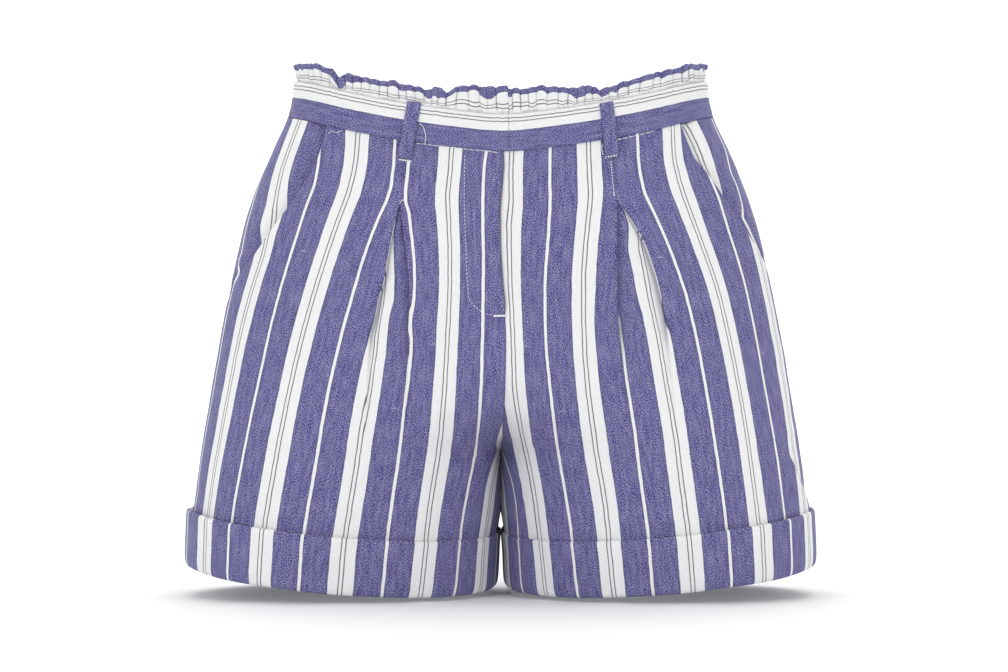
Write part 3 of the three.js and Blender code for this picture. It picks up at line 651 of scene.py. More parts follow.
def front_panel(side):
    heights = PANEL_HEIGHTS
    inner_x, flap_in, under_in, outer_x, under_out, flap_out, sunk = (line(heights) for line in pleat_of[side])
    fold_in, fold_out = (reaches(side, "front", heights, x) for x in (inner_x, outer_x))
    begin, end = begins("front", heights), np.array([pocket_edge(side, z) for z in heights])
    gap = np.maximum(fold_out - fold_in, 0.7)
    corner = np.minimum(0.35, gap * 0.3)
    inside = [begin + (fold_in - 2.2 - begin) * t for t in np.linspace(0, 1, 44)]
    inside += [fold_in - 1.3, fold_in - 0.6, fold_in]
    under = [fold_in + corner] + [fold_in + gap * t for t in np.arange(2, 9) / 10] + [fold_out - corner]
    outside = [fold_out, fold_out + 0.6, fold_out + 1.3]
    outside += [fold_out + 2.2 + (end - fold_out - 2.2) * t for t in np.linspace(0, 1, 98) ** 0.95]
    distances = np.stack(inside + under + outside, -1)
    first_fold, last_fold = len(inside) - 1, len(inside) + len(under)
    places, normal = lay(side, "front", heights, distances)
    z, x = np.repeat(heights[:, None], distances.shape[1], 1), np.abs(places[..., 0])

    # relief: flaps proud, cloth between them sunk, the lapped fly, listed folds
    columns = np.arange(distances.shape[1])
    between = (columns > first_fold) & (columns < last_fold)
    from_in, from_out = distances - fold_in[:, None], distances - fold_out[:, None]
    deep = sunk[:, None]
    sag = 1 - 0.35 * np.sin(np.pi * np.clip(from_in / gap[:, None], 0, 1)) ** 2
    rise = np.minimum(deep, 3.2) * 0.3
    push = np.where(between, -deep * sag, 0)
    push += np.where(columns <= first_fold, rise * ease(1 + from_in / 16), 0)
    push += np.where(columns >= last_fold, rise * ease(1 - from_out / 16), 0)
    push[:, [first_fold, last_fold]] -= 0.25 * np.minimum(deep, 1)
    lapped = ease((places[..., 2] + 150) / 14)
    if side == "right":
        push += 1.5 * lapped * ease(1 - (distances - 3) / 26) * ease((distances + 0.3) / 0.6)
    else:
        push -= 0.8 * lapped * ease(1 - distances / 20)
    push += creased(z, x, FRONT_CREASES[side])
    large, small = (3.1, 5.5) if side == "right" else (8.3, 1.3)
    push += (0.8 * uneven(places, 46, large) + 0.35 * uneven(places, 19, small)) * ease((-z - 20) / 40)
    if side == "left":
        off = x - side_fold(z)
        folded = ease((z + 296) / 16) * ease((-z - 220) / 14)
        beyond = (1.5 - 2.3 * ease(off / 3)) * ease(1 - off / 22)
        push += folded * np.where(off <= 0, 1.5 * ease(1 + off / 16), beyond)
    push *= np.where(z < -150, ease((distances[:, -1:] - distances) / 5), 1)
    places = places + normal * settled(push, z, distances)[..., None]

    # the place across the cloth, from where the stripes show on the finished folds
    across = np.zeros(distances.shape)
    lines_in = [(q, curve(STRIPE_ROWS, xs)) for q, xs in sorted(STRIPES_IN[side].items(), reverse=True)]
    lines_out = [(q, curve(STRIPE_ROWS, xs)) for q, xs in sorted(STRIPES_OUT[side].items())]
    for i, h in enumerate(heights):
        d, seen = distances[i], np.abs(places[i, :, 0])
        low = int(np.argmin(seen[: first_fold + 1]))
        near, far = growing(seen[low : first_fold + 1], low), growing(seen[last_fold:], last_fold)
        inner, outer = [(fold_in[i], flap_in[i])], [(fold_out[i], flap_out[i])]
        for q, line in lines_in:
            if q < flap_in[i] - 6:
                at = float(line(h))
                inner.append((np.interp(at, near, d[low : first_fold + 1]) - max(0.0, near[0] - at), q))
        for q, line in lines_out:
            at = float(line(h))
            outer.append((np.interp(at, far, d[last_fold:]) + max(0.0, at - far[-1]), q))
        inner.append((inner[-1][0] - 300, inner[-1][1] - 300))
        outer.append((outer[-1][0] + 300, outer[-1][1] + 300))
        low_side, high_side = np.interp(d, *zip(*inner[::-1])), np.interp(d, *zip(*outer))
        middle = under_in[i] + (under_out[i] - under_in[i]) * np.clip((d - fold_in[i]) / gap[i], 0, 1)
        across[i] = np.where(columns <= first_fold, low_side, np.where(columns < last_fold, middle, high_side))
    after = across.copy()
    after[:, first_fold], after[:, last_fold] = under_in, flap_out
    across[:, last_fold] = under_out
    # painted shade: darker along the pleat's two folded edges, under the right front's lap at the fly, and in the
    # fold at the left leg's side
    shadow = np.exp(-((from_in / 1.1) ** 2)) + np.exp(-((from_out / 1.1) ** 2))
    tucked = np.where(between, 0.85 * shadow * np.clip(deep / 2, 0.3, 1) * ease((z + 165) / 30), 0)
    if side == "left":
        tucked = np.maximum(tucked, 0.95 * lapped * np.exp(-((distances / 1.25) ** 2)) * ease((z + 18) / -6))
        tucked = np.maximum(tucked, 0.7 * folded * np.exp(-(((off - 0.9) / 0.9) ** 2)))
    piece = cloth(
        "front_panel_" + side, places, across, -z, 1.1, FRONT_LOOKS[side], (0, 400, -160),
        after, np.clip(tucked, 0, 1),
    )
    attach(piece, "root")
    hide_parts("front_" + side)
    return piece


front_panels = {side: front_panel(side) for side in SIDES}

# ---------------------------------------------------------------------------------------------
# Back panels: the same cloth, one to each half, joined at the centre back and to the fronts at
# the side and inside leg seams. Plain, with the soft drag lines of a seat that hangs.
BACK_CREASES = [
    (-60, 30, -150, 60, 10, 0.8),
    (-120, 90, -215, 60, 9, -0.9),
    (-185, 12, -222, 20, 6, 0.9),
    (-170, 130, -290, 150, 10, -0.8),
    (-200, 60, -300, 78, 11, 0.8),
    (-60, 120, -160, 140, 10, -0.6),
]


def back_panel(side):
    heights = PANEL_HEIGHTS
    begin, end = begins("back", heights), ends(side, "back", heights)
    distances = begin[:, None] + (end - begin)[:, None] * np.linspace(0, 1, 112)
    places, normal = lay(side, "back", heights, distances)
    z, x = np.repeat(heights[:, None], distances.shape[1], 1), np.abs(places[..., 0])
    # where the cloth's straight grain lies at each height, out from the centre
    grain = reaches(side, "back", heights, np.interp(-heights, [13, 120, 220, 313], [84, 92, 98, 104]))
    across = 106 + distances - grain[:, None]
    large, small, strength = (11.2, 2.2, 0.9) if side == "right" else (4.9, 7.9, 1.1)
    push = creased(z, x, BACK_CREASES) * strength
    push += (0.9 * uneven(places, 50, large) + 0.35 * uneven(places, 21, small)) * ease((-z - 16) / 30)
    push *= ease((distances[:, -1:] - distances) / 6) * 0.9 + 0.1
    places = places + normal * settled(push, z, distances)[..., None]
    piece = cloth("back_panel_" + side, places, across, -z, 1.1, BACK_LOOKS[side], (0, -400, -160))
    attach(piece, "root")
    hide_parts("back_" + side)
    return piece


BACK_LOOKS = {side: striped_cloth("striped_cotton_back_" + side, 12.0) for side in SIDES}
back_panels = {side: back_panel(side) for side in SIDES}

# ---------------------------------------------------------------------------------------------
# Hip pieces and pocket bags: the striped cloth that shows in each slanted pocket opening, and the
# thin white bag behind it, caught in the waist and side seams.
HIP_BOTTOM = {"right": -150, "left": -133}
# how far out the hip's wide white stripe and its narrow one show at each height
HIP_STRIPES = {
    "right": (
        curve(
            [-14, -30, -48, -66, -84, -102, -125, -150],
            [133.3, 139.1, 145.0, 148.6, 150.9, 153.2, 158, 164],
        ),
        curve([-14, -60, -84, -96, -112, -125.5, -150], [150, 171, 175, 174.8, 174.9, 174.2, 178]),
    ),
    "left": (
        curve(
            [-14, -19, -28.6, -37.3, -46, -52, -80, -133],
            [121.5, 124.5, 129.1, 132.5, 136.3, 138.9, 147, 158],
        ),
        curve(
            [-14, -34.9, -48.6, -62, -75, -87.9, -94.8, -133],
            [143, 150.0, 152.8, 158.1, 160.8, 161.5, 164.3, 172],
        ),
    ),
}


def plain_cloth(name, light, dark, relief=0.0002, roughness=0.9):
    """Plain woven cloth, or thread, of one colour."""
    look, tree, surface = blank_look(name)
    place = shade("ShaderNodeTexCoord", tree).outputs["Object"]
    weave = shade("ShaderNodeGroup", tree, node_tree=WOVEN, Place=place).outputs
    colour = tint(tree, weave["Threads"], dark, light, 0.3, 0.7)
    bump = shade("ShaderNodeBump", tree, Height=weave["Relief"], Distance=relief).outputs["Normal"]
    wire(tree, surface, Base_Color=colour, Roughness=roughness, Normal=bump, Sheen_Weight=0.1)
    return look


hip_look = striped_cloth("striped_cotton_hip")
pocketing = plain_cloth("pocketing", (0.78, 0.78, 0.80, 1), (0.66, 0.66, 0.69, 1))
hip_pieces = {}
for side in SIDES:
    heights = np.linspace(-13.75, HIP_BOTTOM[side], 64)
    edge, end = np.array([pocket_edge(side, z) for z in heights]), ends(side, "front", heights)
    bare = np.minimum(edge + 2, end - 4)
    distances = np.stack(
        [edge - 12 + (bare - edge + 12) * t for t in np.linspace(0, 1, 12)]
        + [bare + (end - bare) * t for t in np.linspace(0, 1, 27)[1:]],
        -1,
    )
    places, normal = lay(side, "front", heights, distances)
    z, past = np.repeat(heights[:, None], distances.shape[1], 1), distances - edge[:, None]
    opened = ease((end - edge - 15) / 14)[:, None]
    rise = np.minimum(11, (end - edge) * 0.8)[:, None]
    push = 3.4 * (opened * ease((past - 2) / np.maximum(rise, 0.01)) - 1)
    push += 0.35 * uneven(places, 22, 6.6) * ease((distances[:, -1:] - distances) / 6)
    places = places + normal * push[..., None]
    across = np.zeros(distances.shape)
    for i, h in enumerate(heights):
        seen = growing(np.abs(places[i, :, 0]))
        wide, narrow = (float(line(h)) for line in HIP_STRIPES[side])
        at_wide = np.interp(wide, seen, distances[i])
        at_narrow = np.interp(narrow, seen, distances[i]) + max(0.0, narrow - seen[-1])
        at_narrow = at_wide + min(max(at_narrow - at_wide, 20), 30)
        known = [at_wide - 100, at_wide, at_narrow, at_narrow + 100]
        across[i] = np.interp(distances[i], known, [-100, 0, 26.5, 126.5])
    # painted shade just inside the pocket's slanted edge
    tucked = 0.4 * np.exp(-(past**2)) * (past > 0)
    piece = cloth("hip_piece_" + side, places, across, -z, 1.0, hip_look, (0, 400, -160), tucked=tucked)
    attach(piece, "root")
    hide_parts("hip_" + side)
    hip_pieces[side] = piece

    heights = np.linspace(-15, -165, 40)
    begin = reaches(side, "front", heights, form_of["width"](heights) * np.linspace(0.62, 0.8, 40))
    end = ends(side, "front", heights, short=7)
    distances = begin[:, None] + (end - begin)[:, None] * np.linspace(0, 1, 30)
    places, normal = lay(side, "front", heights, distances)
    z = np.repeat(heights[:, None], distances.shape[1], 1)
    places = places + normal * (0.4 * uneven(places, 20, 9.1) - 6.6)[..., None]
    bag = cloth("pocket_bag_cloth_" + side, places, distances, -z, 0.8, pocketing, (0, 400, -160))
    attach(bag, "root")
    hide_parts("pocket_bag_" + side)

# ---------------------------------------------------------------------------------------------
# Waistband: the striped cloth cut across, blue below and white above, one front to each side that
# meet under a short tab at the centre, and one piece round the back. Shirring thread draws in its top.
BAND_END = 5.4


def strip_along(stops, heights):
    """Points, outward normals and ways along for stops round the waist: side, half, distance along a row."""
    places = np.zeros((len(heights), len(stops), 3))
    for half in ("front", "back"):
        for side in SIDES:
            chosen = [k for k, stop in enumerate(stops) if stop[:2] == (side, half)]
            if chosen:
                distances = np.array([[stops[k][2](z) for k in chosen] for z in heights])
                places[:, chosen] = lay(side, half, heights, distances)[0]
    normal = unit(np.cross(np.gradient(places, axis=1), np.array([0.0, 0.0, 1.0])))
    normal *= np.where((normal * places * np.array([1, 1, 0])).sum(-1, keepdims=True) < 0, -1, 1)
    return places, normal, np.array([measured(line) for line in places])


def waist_stops(piece, count):
    """Stops round the waist for the right front with its tab, the left front, or the back."""
    def seam(side, half, z):
        return row(side, half, z)[1][-1] - SEAM

    def whole(side, half, t):
        return (side, half, lambda z: seam(side, half, z) * t)

    def tab(t):
        return ("left", "front", lambda z: reach("left", "front", z, BAND_END) * t)

    def past(t):
        def place(z):
            return (1 - t) * reach("left", "front", z, BAND_END + 0.3) + t * seam("left", "front", z)
        return ("left", "front", place)

    outwards = np.linspace(0, 1, count)
    if piece == "right":
        return [tab(t) for t in np.linspace(1, 0.12, 8)] + [whole("right", "front", t) for t in outwards]
    if piece == "left":
        return [past(t) for t in outwards]
    return [whole("right", "back", t) for t in outwards[::-1]] + [whole("left", "back", t) for t in outwards[1:]]


SHIRRED = 10.8
band_look = striped_cloth("striped_cotton_band")
waistbands = {}
for kind, node, count, seed in (
    ("right", "front_right", 330, 0.4), ("left", "front_left", 320, 2.9), ("back", "back", 320, 5.2),
):
    heights = np.concatenate([np.linspace(WAIST_SEAM + 0.1, 0, 12), np.linspace(0, SHIRRED, 12)[1:]])
    places, normal, ways = strip_along(waist_stops(kind, count), heights)
    z = np.repeat(heights[:, None], places.shape[1], 1)
    turn = ways[12:13] / 4.9
    gathers = np.sin(turn * 2 * np.pi + 2.2 * np.sin(turn * 0.9 + seed) + 1.3 * np.sin(turn * 2.3 + 2 * seed))
    gathers = gathers * (0.6 + 0.4 * np.sin(turn * 0.77 + seed * 3))
    up = z - WAIST_SEAM
    push = 0.15 + 0.3 * gathers * ease((z - 3) / 8) + 0.22 * uneven(places, 19, seed) * ease(up / 6)
    push += 0.45 * np.sin(np.pi * np.clip(up / (SHIRRED - WAIST_SEAM), 0, 1))
    push -= 1.5 * ease((np.abs(places[..., 0]) - 105) / 30)
    places = places + normal * push[..., None]
    across = z * 1.15 - 8.15 + 0.22 * gathers * ease((z - 4) / 7)
    piece = cloth("waistband_cloth_" + node, places, across, ways, 2.0, band_look, (0, 0, 0))
    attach(piece, "root")
    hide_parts("waistband_" + node)
    waistbands[kind] = piece

# ---------------------------------------------------------------------------------------------
# Frill: the band's own cloth, folded over at its top edge and drawn up by the shirring, so that it
# stands in small uneven puffs with sharp creases between. Its blue top edge rolls over, and flops
# down in four places at the front.
frill_look = striped_cloth("striped_cotton_frill")
FRILL_EDGE = {
    "right": curve(
        [
            2, 5.7, 13.6, 28.7, 36.6, 41.3, 49.2, 58.4, 69.6, 81.8, 95.9, 100.6, 106.5, 111.1, 120.7, 130.2,
            135.5, 141,
        ],
        [
            28.0, 28.4, 28.0, 26.6, 21.6, 24.4, 21.9, 22.9, 23.3, 22.6, 22.4, 23.6, 18.6, 23.0, 23.9, 23.4,
            21.2, 22.0,
        ],
    ),
    "left": curve(
        [
            2, 14, 25.3, 33.2, 40, 48.4, 53.3, 58, 62.9, 67.5, 73.4, 85.9, 98.5, 112.3, 121.5, 129.4, 134.7,
            141,
        ],
        [
            27.8, 26.6, 27.2, 25.2, 24.6, 22.4, 23.2, 23.6, 20.6, 17.9, 19.7, 21.4, 22.9, 22.7, 22.9, 23.6,
            21.6, 22.0,
        ],
    ),
}
# where the blue edge shows wider, because it flops over: place out from the centre, half width, depth
FLOPS = {
    "right": [
        (6, 3.4, 5.0), (10.5, 3.2, 2.4), (41.5, 3.0, 3.6), (47, 2.6, 2.2), (65, 3, 1.2), (99.5, 3.2, 2.6),
        (104.6, 2.2, 4.2), (109, 3.6, 3.0),
    ],
    "left": [
        (6.5, 1.2, 2.0), (31, 1.4, 0.8), (48.8, 2.6, 2.8), (53.4, 3.2, 3.6), (60.5, 4.2, 1.6), (76, 1.6, 1.6),
        (107, 1.4, 0.9), (122, 3, 0.7),
    ],
    "back": [(18, 2.4, 2.6), (57, 2.8, 3.2), (92, 2.0, 1.8)],
}
# the creases between the puffs at the front, out from the centre in mm
CREASES = {
    "right": [
        2.4, 8.6, 13.5, 21, 29.5, 36.3, 41.6, 45.5, 50.6, 56.2, 61.6, 67, 74.5, 80.2, 86.6, 92.6, 98, 102.6,
        107.6, 113.4, 119.5, 125.2, 131.5,
    ],
    "left": [
        1.8, 8, 13.4, 18.9, 23.7, 30.5, 37.6, 44.2, 50.4, 55.6, 61, 66.4, 71.8, 77.4, 84.4, 91.7, 100.5, 106,
        114.6, 121.4, 127.2, 133.4,
    ],
}
# up the outside, over the rolled edge and down behind: share of the height, mm above the top, mm inwards
FRILL_PROFILE = [(t, 0, 0) for t in np.linspace(0, 0.72, 9)] + [
    (0.8, 0, -0.25), (0.87, 0, -0.6), (0.93, 0, -0.8), (0.98, 0, -0.7), (1, 0.25, -0.3), (1, 0.5, 0.3),
    (1, 0.35, 1.0), (0.97, 0, 1.5), (0.9, 0, 1.7), (0.78, 0, 1.6), (0.6, 0, 1.6), (0.4, 0, 1.6), (0.2, 0, 1.6),
]
EDGE_TURN, BEHIND = 14, 1.2  # the profile's step at the top of the roll, and how far in its back begins
level, above, inward = np.array(FRILL_PROFILE).T[..., None]
for kind, node, count, seed in (
    ("right", "front_right", 620, 0.9), ("left", "front_left", 600, 3.3), ("back", "back", 620, 6.1),
):
    base, normal, ways = (q[0] for q in strip_along(waist_stops(kind, count), [SHIRRED, SHIRRED + 2]))
    x = np.abs(base[:, 0])
    if kind == "back":
        where, stand = x, ways
        creases = np.cumsum(6.2 + 1.7 * np.sin(np.arange(70) * 2.3) + 0.9 * np.sin(np.arange(70) * 5.1))
        top = 23.2 + 0.9 * np.sin(ways / 21) + 0.6 * np.sin(ways / 7.7) - 1.6 * np.exp(-(((ways - 120) / 5) ** 2))
    else:
        where = base[:, 0] * (-1 if kind == "right" else 1)
        stand = np.where(x < 126, where, 126 + ways - ways[np.argmin(np.abs(x - 126))])
        creases = np.array([-7.5] + CREASES[kind] + [139.5, 146, 153, 160, 168, 176, 184])
        top = np.where(stand > 141, 22 + 0.7 * np.sin(stand / 5), FRILL_EDGE[kind](x))
    index = np.clip(np.searchsorted(creases, stand, side="right") - 1, 0, len(creases) - 2)
    wide = creases[index + 1] - creases[index]
    t = np.clip((stand - creases[index]) / wide, 0, 1)
    arch = np.sin(np.pi * t)
    puff = arch**0.55 * (0.75 + 0.25 * np.sin(index * 2.7 + seed)) * np.minimum(wide / 6, 1.15)
    lean = np.sin(index * 1.9 + seed)
    overlap = np.where(lean > 0, t, 1 - t)
    top = top + 1.2 * (puff - 0.6) + 0.5 * np.sin(index * 2.1 + seed) * arch
    rim = 2.8 + 0.5 * np.sin(index * 3.1 + seed)
    flop = sum(deep * np.exp(-(((where - at) / half) ** 2)) for at, half, deep in FLOPS[kind])
    tall = top - SHIRRED
    loose = ease(level * 1.15) * 0.86 + 0.14
    out = 0.25 + (2.7 * puff - 1.3 + 0.9 * (overlap - 0.5) * np.minimum(wide / 6, 1)) * loose - inward
    out = out - 2.2 * ease((x - 105) / 30) + 0.35 * flop * ease((level - 0.35) / 0.4) * (inward < BEHIND)
    sway = (1.1 * lean * (puff - 0.4) + 0.8 * np.sin(stand / 9 + seed) * level) * loose
    places = base + normal * out[..., None] + unit(np.gradient(base, axis=0)) * sway[..., None]
    places[..., 2] += level * tall + above
    # the place across the cloth: the fine lines and the white stripe below, the blue edge above
    below = tall - rim - flop
    share = level * tall / np.maximum(below, 1)
    wave = 1.3 * np.sin(index * 4.3 + seed) * arch - 1.8 * (1 - puff) * np.clip(1.5 - level * 1.5, 0, 1)
    white = -5.75 + 13.9 * share + wave * np.sin(np.pi * np.clip(share, 0, 1)) * 0.8
    blue = np.clip(8.15 + (level * tall - below) * np.where(flop > 0.8, 0.9, 1), 8.15, 17.5)
    turned = measured(np.hstack([level * 12, inward]))[:, None]
    across = np.where(inward > BEHIND, 11.0 + turned - turned[EDGE_TURN], np.where(share < 1, white, blue))
    along = np.repeat(ways[None] * 1.5, len(level), 0)
    # painted shade in the creases between the puffs, and along the shirring line at the frill's foot
    near_crease = np.minimum(stand - creases[index], creases[index + 1] - stand)
    strength = np.clip(0.55 + 0.45 * np.sin(index * 5.3 + seed), 0.2, 1)
    tucked = 1.2 * np.exp(-((near_crease / 0.5) ** 2)) * strength * ease((level - 0.08) / 0.2)
    shirring = 0.05 + 0.05 * np.sin(ways / 3.1 + seed) + 0.03 * np.sin(ways / 1.3)
    tucked = np.maximum(tucked, 0.5 * np.exp(-(((level - shirring) / 0.035) ** 2)) * (inward < BEHIND))
    piece = cloth("frill_cloth_" + node, places, across, along, 0.5, frill_look, (0, 0, 17), tucked=tucked)
    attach(piece, "root")
    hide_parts("frill_" + node)

# ---------------------------------------------------------------------------------------------
# Cuffs: the end of each leg turned up outside, its hem a soft fold and its raw top turned in. The
# cuff stands off the leg at its top, and its stripes don't quite meet the leg's.
# where each stripe crosses the middle of the cuff's front, out from the centre
CUFF_STRIPES = {
    "right": [
        (-19, 12.9), (7.5, 29.2), (34, 51.2), (60.5, 76.3), (87, 103.9), (113.5, 130.8), (140, 157.3),
        (166.5, 178.8), (193, 194.9), (219.5, 209.5),
    ],
    "left": [
        (-20, 13.6), (6.5, 28.8), (33, 49.3), (59.5, 72.8), (86, 98.4), (112.5, 124.5), (139, 150.1),
        (165.5, 172.2), (192, 191.6), (218.5, 205),
    ],
}
# how far up, how far out, and how much of the stand-off at the top
CUFF_PROFILE = [
    (20, 0.9, 0.7), (28, 0.7, 0.85), (33.4, 0.7, 1.0), (34.6, 1.0, 1.0), (35, 1.6, 1.0), (34.9, 2.3, 1.0),
    (34.2, 2.65, 1.0), (32.5, 2.75, 0.97), (30, 2.75, 0.9), (26, 2.7, 0.78), (22, 2.7, 0.66), (18, 2.7, 0.54),
    (14, 2.7, 0.42), (10, 2.65, 0.3), (6.5, 2.55, 0.2), (3.5, 2.4, 0.1), (1.4, 2.15, 0), (0, 1.75, 0),
    (-1.1, 1.1, 0), (-1.6, 0.2, 0), (-1.3, -0.8, 0), (-0.2, -1.4, 0), (1.8, -1.7, 0), (5, -1.75, 0),
]
FACE, AROUND = 12, 190  # the profile's step half way up the face, and the steps round half a leg
up, out, lift = np.array(CUFF_PROFILE).T[..., None]
cuffs = {}
CUFF_LOOKS = {side: striped_cloth("striped_cotton_cuff_" + side, STRIPE_START[side]) for side in SIDES}
for side in SIDES:
    places = np.zeros((len(CUFF_PROFILE), 2 * AROUND + 1, 3))
    t = np.linspace(0, 1, AROUND + 1)
    for i, z in enumerate(HEM + up[:, 0]):
        front, front_along = row(side, "front", z)
        back, back_along = row(side, "back", z)
        for k in range(3):
            places[i, : AROUND + 1, k] = np.interp(t * front_along[-1], front_along, front[:, k])
            places[i, AROUND:, k] = np.interp((1 - t) * back_along[-1], back_along, back[:, k])
    ring = places[:, :-1]
    run = np.roll(ring, -1, axis=1) - np.roll(ring, 1, axis=1)
    normal = unit(np.stack([run[..., 1], -run[..., 0], np.zeros(run.shape[:2])], -1))
    normal *= np.sign((normal * (ring - ring.mean(axis=1, keepdims=True))).sum(-1).mean())
    normal = np.concatenate([normal, normal[:, :1]], 1)
    soft = 0.4 * uneven(places, 30, 4.4 if side == "right" else 9.7) * np.clip(up / 12, 0, 1)
    soft[:, -1] = soft[:, 0]
    places = places + normal * (out + 2.4 * lift * ease(np.abs(places[..., 0]) / 60) + soft)[..., None]
    face = places[FACE]
    ways = measured(face)
    near = int(np.argmin(np.abs(face[:AROUND, 0])))
    seen = growing(np.abs(face[near : AROUND + 1, 0]))
    known = [(np.interp(x, seen, ways[near : AROUND + 1]), place) for place, x in CUFF_STRIPES[side]]
    known = [(known[0][0] - 300, known[0][1] - 300)] + known + [(known[-1][0] + 900, known[-1][1] + 900)]
    across = np.repeat(np.interp(ways, *zip(*known))[None], len(CUFF_PROFILE), 0)
    along = measured(places[:, 0])[:, None] * np.ones(2 * AROUND + 1)
    middle = places[:, :-1].mean(axis=(0, 1))
    cuff = cloth("cuff_cloth_" + side, places, across, along, 0.7, CUFF_LOOKS[side], middle)
    bpy.ops.object.mode_set(mode="EDIT")
    bpy.ops.mesh.select_all(action="SELECT")
    bpy.ops.mesh.remove_doubles(threshold=0.00002)
    bpy.ops.object.mode_set(mode="OBJECT")
    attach(cuff, "root")
    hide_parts("cuff_" + side)
    cuffs[side] = cuff

# ---------------------------------------------------------------------------------------------
# Belt loops: four narrow straps folded from the striped cotton's blue. Each is sewn down above the
# shirring and below the waist seam, and stands a little off the band between.
# each by its place out from the centre at its top and foot, the height of its top, and its length
LOOPS = [
    ("front_right", "right", "front", 56.6, 63.1, 12.6, 38.6),
    ("front_left", "left", "front", 69.4, 73.2, 10.2, 36.4),
    ("back_right", "right", "back", 62, 64, 12.6, 38.6),
    ("back_left", "left", "back", 62, 64, 12.6, 38.6),
]
LOOP_WIDTH = 7.6
loop_look = striped_cloth("striped_cotton_loop")
belt_loops = {}
for name, side, half, top, foot, high, long in LOOPS:
    steps, share = np.linspace(0, 1, 26), np.linspace(-0.5, 0.5, 13)
    heights = high - long * steps
    distances = reaches(side, half, heights, top + (foot - top) * steps)[:, None] + share * LOOP_WIDTH
    places, normal = lay(side, half, heights, distances)
    stand = (1.5 + 1.6 * np.sin(np.pi * steps))[:, None] + 1 - np.abs(share * 2) ** 6
    places = places + normal * stand[..., None]
    across = np.repeat((17.5 + share * LOOP_WIDTH)[None], len(steps), 0)
    along = np.repeat(-heights[:, None], len(share), 1)
    inside = (0, 400 if half == "front" else -400, -10)
    piece = cloth("belt_loop_cloth_" + name, places, across, along, 1.2, loop_look, inside)
    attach(piece, "root")
    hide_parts("belt_loop_" + name)
    belt_loops[name] = piece

# ---------------------------------------------------------------------------------------------
# Sewing: white cotton thread. The fly's J of topstitching and its bar, bars across the feet of the
# belt loops, the seam below the band, the tacked cuffs, the pleats' tips, and a few loose ends.
def seen_from(pieces, towards):
    """Finds the outermost cloth at a place seen from the front or the back, in mm."""
    corners, faces = [], []
    for piece in pieces:
        first = len(corners)
        corners += [v.co.copy() for v in piece.data.vertices]
        faces += [[first + v for v in face.vertices] for face in piece.data.polygons]
    tree = BVHTree.FromPolygons(corners, faces)

    def at(x, z):
        hit, normal, _, _ = tree.ray_cast(Vector((x / 1000, -towards * 0.4, z / 1000)), Vector((0, towards, 0)))
        if hit is not None and normal.y * towards > 0:
            normal = -normal
        return hit, normal

    return at


WHITE_THREAD = plain_cloth("white_thread", (0.93, 0.93, 0.92, 1), (0.84, 0.84, 0.83, 1), 0.00005, 0.7)


def sewn(name, at, stitch, gap, thread, proud, runs):
    """Rows of stitches along paths given as places across and up in mm, as one piece.
    In mm too: each stitch's length, the gap after it, the thread's width, and how far it stands proud."""
    bpy.ops.object.select_all(action="DESELECT")
    bpy.ops.mesh.primitive_cylinder_add(
        vertices=6, radius=thread / 2000, depth=0.001, rotation=(0, math.radians(90), 0)
    )
    one = bpy.context.object
    bpy.ops.object.transform_apply(location=True, rotation=True, scale=True)
    bpy.ops.object.mode_set(mode="EDIT")
    bpy.ops.mesh.select_all(action="SELECT")
    bpy.ops.mesh.bisect(plane_co=(0, 0, 0), plane_no=(1, 0, 0))
    bpy.ops.object.mode_set(mode="OBJECT")
    for corner in one.data.vertices:
        if abs(corner.co.x) > 0.0004:
            corner.co = Vector((corner.co.x, corner.co.y * 0.45, corner.co.z * 0.45 - thread / 5000))
    bpy.ops.object.shade_smooth()
    copies = []
    for run in runs:
        run = np.array(run, float)
        legs = measured(run)
        begin = 0.0
        while begin < legs[-1] - stitch * 0.4:
            near, far = (
                at(float(np.interp(d, legs, run[:, 0])), float(np.interp(d, legs, run[:, 1])))
                for d in (begin, min(begin + stitch, legs[-1]))
            )
            begin += stitch + gap
            if near[0] is None or far[0] is None or (far[0] - near[0]).length > stitch / 400:
                continue
            way = far[0] - near[0]
            up = (near[1] + far[1]).normalized()
            aside = up.cross(way).normalized()
            up = way.cross(aside).normalized()
            turn = Matrix((way.normalized(), aside, up)).transposed()
            stretch = way.length * 1000
            copy = one.copy()
            copy.data = one.data.copy()
            bpy.context.collection.objects.link(copy)
            middle = (near[0] + far[0]) / 2 + up * proud / 1000
            for corner in copy.data.vertices:
                corner.co = turn @ Vector((corner.co.x * stretch, corner.co.y, corner.co.z)) + middle
            copies.append(copy)
    bpy.data.objects.remove(one)
    bpy.ops.object.select_all(action="DESELECT")
    for copy in copies:
        copy.select_set(True)
    bpy.context.view_layer.objects.active = copies[0]
    bpy.ops.object.join()
    piece = bpy.context.object
    piece.name = name
    piece.data.materials.append(WHITE_THREAD)
    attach(piece, "root")
    return piece


def slanting(k, x, z, slope, drop=0.0, way=1):
    """One stitch of a bar whose stitches go down and up by turns."""
    down = 1.4 * (k % 2)
    x, z = x + 0.62 * k, z + slope * k
    return [(way * x, z - down), (way * (x + 0.6), z - drop - 1.4 + down)]


shared = [*waistbands.values(), *cuffs.values(), *belt_loops.values()]
at_front = seen_from([*front_panels.values(), *hip_pieces.values(), *shared], 1)
at_back = seen_from([*back_panels.values(), waistbands["back"], *cuffs.values(), *belt_loops.values()], -1)
sewn("fly_topstitching", at_front, 1.6, 0.9, 0.42, 0.1, [[
    (-23.6, -41.5), (-23.9, -71.7), (-22.9, -97.8), (-21.9, -123.9), (-20.9, -135.7), (-17.4, -140.9),
    (-13.4, -144.2), (-9.5, -146.1), (-5, -147),
]])
sewn(
    "fly_bar", at_front, 2.7, 0.0, 0.6, 0.35,
    [[(-4.8, -147.4 + 0.28 * k), (3.4, -147.3 + 0.28 * k)] for k in (-1, 0, 1)]
    + [[(x, -147.9), (x + 0.5, -146.6)] for x in np.arange(-4.4, 3.2, 0.8)],
)
sewn(
    "loop_bar_right", at_front, 1.7, 0, 0.75, 0.35,
    [slanting(k, -66.8, -43.6, -0.1, drop=0.1) for k in range(13)],
)
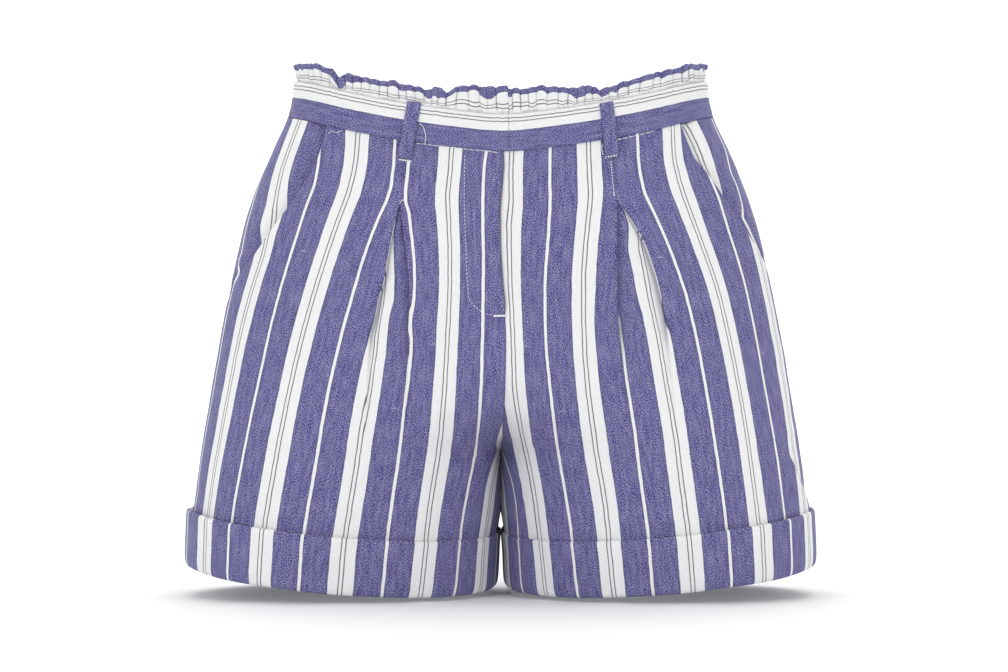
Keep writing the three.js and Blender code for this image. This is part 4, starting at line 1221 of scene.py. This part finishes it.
sewn(
    "loop_bar_left", at_front, 1.6, 0.2, 0.6, 0.35,
    [[(68.6, -43.6), (76.8, -42.1)], [(68.6, -42.9), (76.8, -41.5)]],
)
sewn("band_seam_thread", at_front, 3.6, 0.3, 0.6, 0.3, [
    [(-56.0, -33.7), (-50, -34.1), (-39.6, -35.7), (-30, -36.4), (-20.0, -37.9), (-9, -38.6), (-1, -40.2)],
    [(76.6, -31.2), (88, -28.6), (100.9, -25.2)],
    [(112, -23.2), (122, -20.2)],
])
sewn("cuff_tacking", at_front, 0.8, 2.4, 0.26, 0.02, [
    [
        (-200.9, -273.5), (-188.5, -279.7), (-174.8, -281.7), (-159.7, -284.9), (-129.0, -288.8),
        (-95.1, -292.8), (-74.8, -294.1), (-56.5, -295.7), (-28.5, -295.7), (-8.9, -294.7),
    ],
    [
        (6.2, -292.8), (48.0, -294.1), (97.6, -292.1), (131.6, -288.2), (165.5, -284.3), (185.1, -279.7),
        (196.2, -275.8),
    ],
])
sewn("pleat_stitches", at_front, 1.3, 0.5, 0.55, 0.25, [
    [(72.6, -45.6), (73.4, -57.3), (74.7, -68.4)],
    [(73.6, -66.5), (75.2, -66.9)],
    [(73.8, -68.2), (75.6, -68.6)],
    [(-66.4, -73.8), (-64.4, -71.0)],
    [(-64.3, -71.0), (-62.5, -73.2)],
    [(-114.0, -26.3), (-111.4, -24.6), (-108.8, -26.3), (-104.2, -24.3)],
])
sewn("loose_threads", at_front, 1.1, -0.2, 0.55, 0.6, [
    [(-53.3, -20.7), (-51.6, -21.8), (-50.4, -24.2), (-49.3, -27.9), (-49.3, -31), (-49.9, -33.9)],
    [(66.9, -34.4), (66.5, -37.7), (67.6, -41.6)],
    [(-96.4, -293.6), (-95.3, -297.6)],
])
sewn(
    "back_stitches", at_back, 1.4, 0.5, 0.36, 0.15,
    [slanting(k, 60.2, -38.2, 0.08, way=side) for k in range(13) for side in (-1, 1)]
    + [
        [(side * x, z) for x, z in ((8, -297), (60, -296), (110, -292), (150, -287), (190, -280))]
        for side in (-1, 1)
    ],
)

# ---------------------------------------------------------------------------------------------
# Behind the fly: an underlap of blue cotton, a white woven zip tape with its teeth closed, and a
# small slider of brushed steel. The lapped front hides all three, and each keeps its solid shape.
underlap_look = plain_cloth("underlap_cotton", (0.15, 0.145, 0.42, 1), (0.09, 0.085, 0.3, 1))
tape_look = plain_cloth("zip_tape_weave", (0.75, 0.75, 0.78, 1), (0.5, 0.5, 0.55, 1))
steel, steel_tree, steel_surface = blank_look("zip_steel")
steel_place = shade("ShaderNodeTexCoord", steel_tree).outputs["Object"]
steel_scratches = shade("ShaderNodeTexNoise", steel_tree, Vector=steel_place, Scale=1800).outputs["Fac"]
steel_range = shade("ShaderNodeMapRange", steel_tree, Value=steel_scratches, To_Min=0.25, To_Max=0.5)
steel_dull = steel_range.outputs["Result"]
wire(steel_tree, steel_surface, Base_Color=(0.55, 0.56, 0.58, 1), Metallic=1, Roughness=steel_dull)
for node, look in (("zip_slider", steel), ("zip_tape", tape_look), ("fly_underlap", underlap_look)):
    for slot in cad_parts[node].material_slots:
        slot.material = look

low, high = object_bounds()
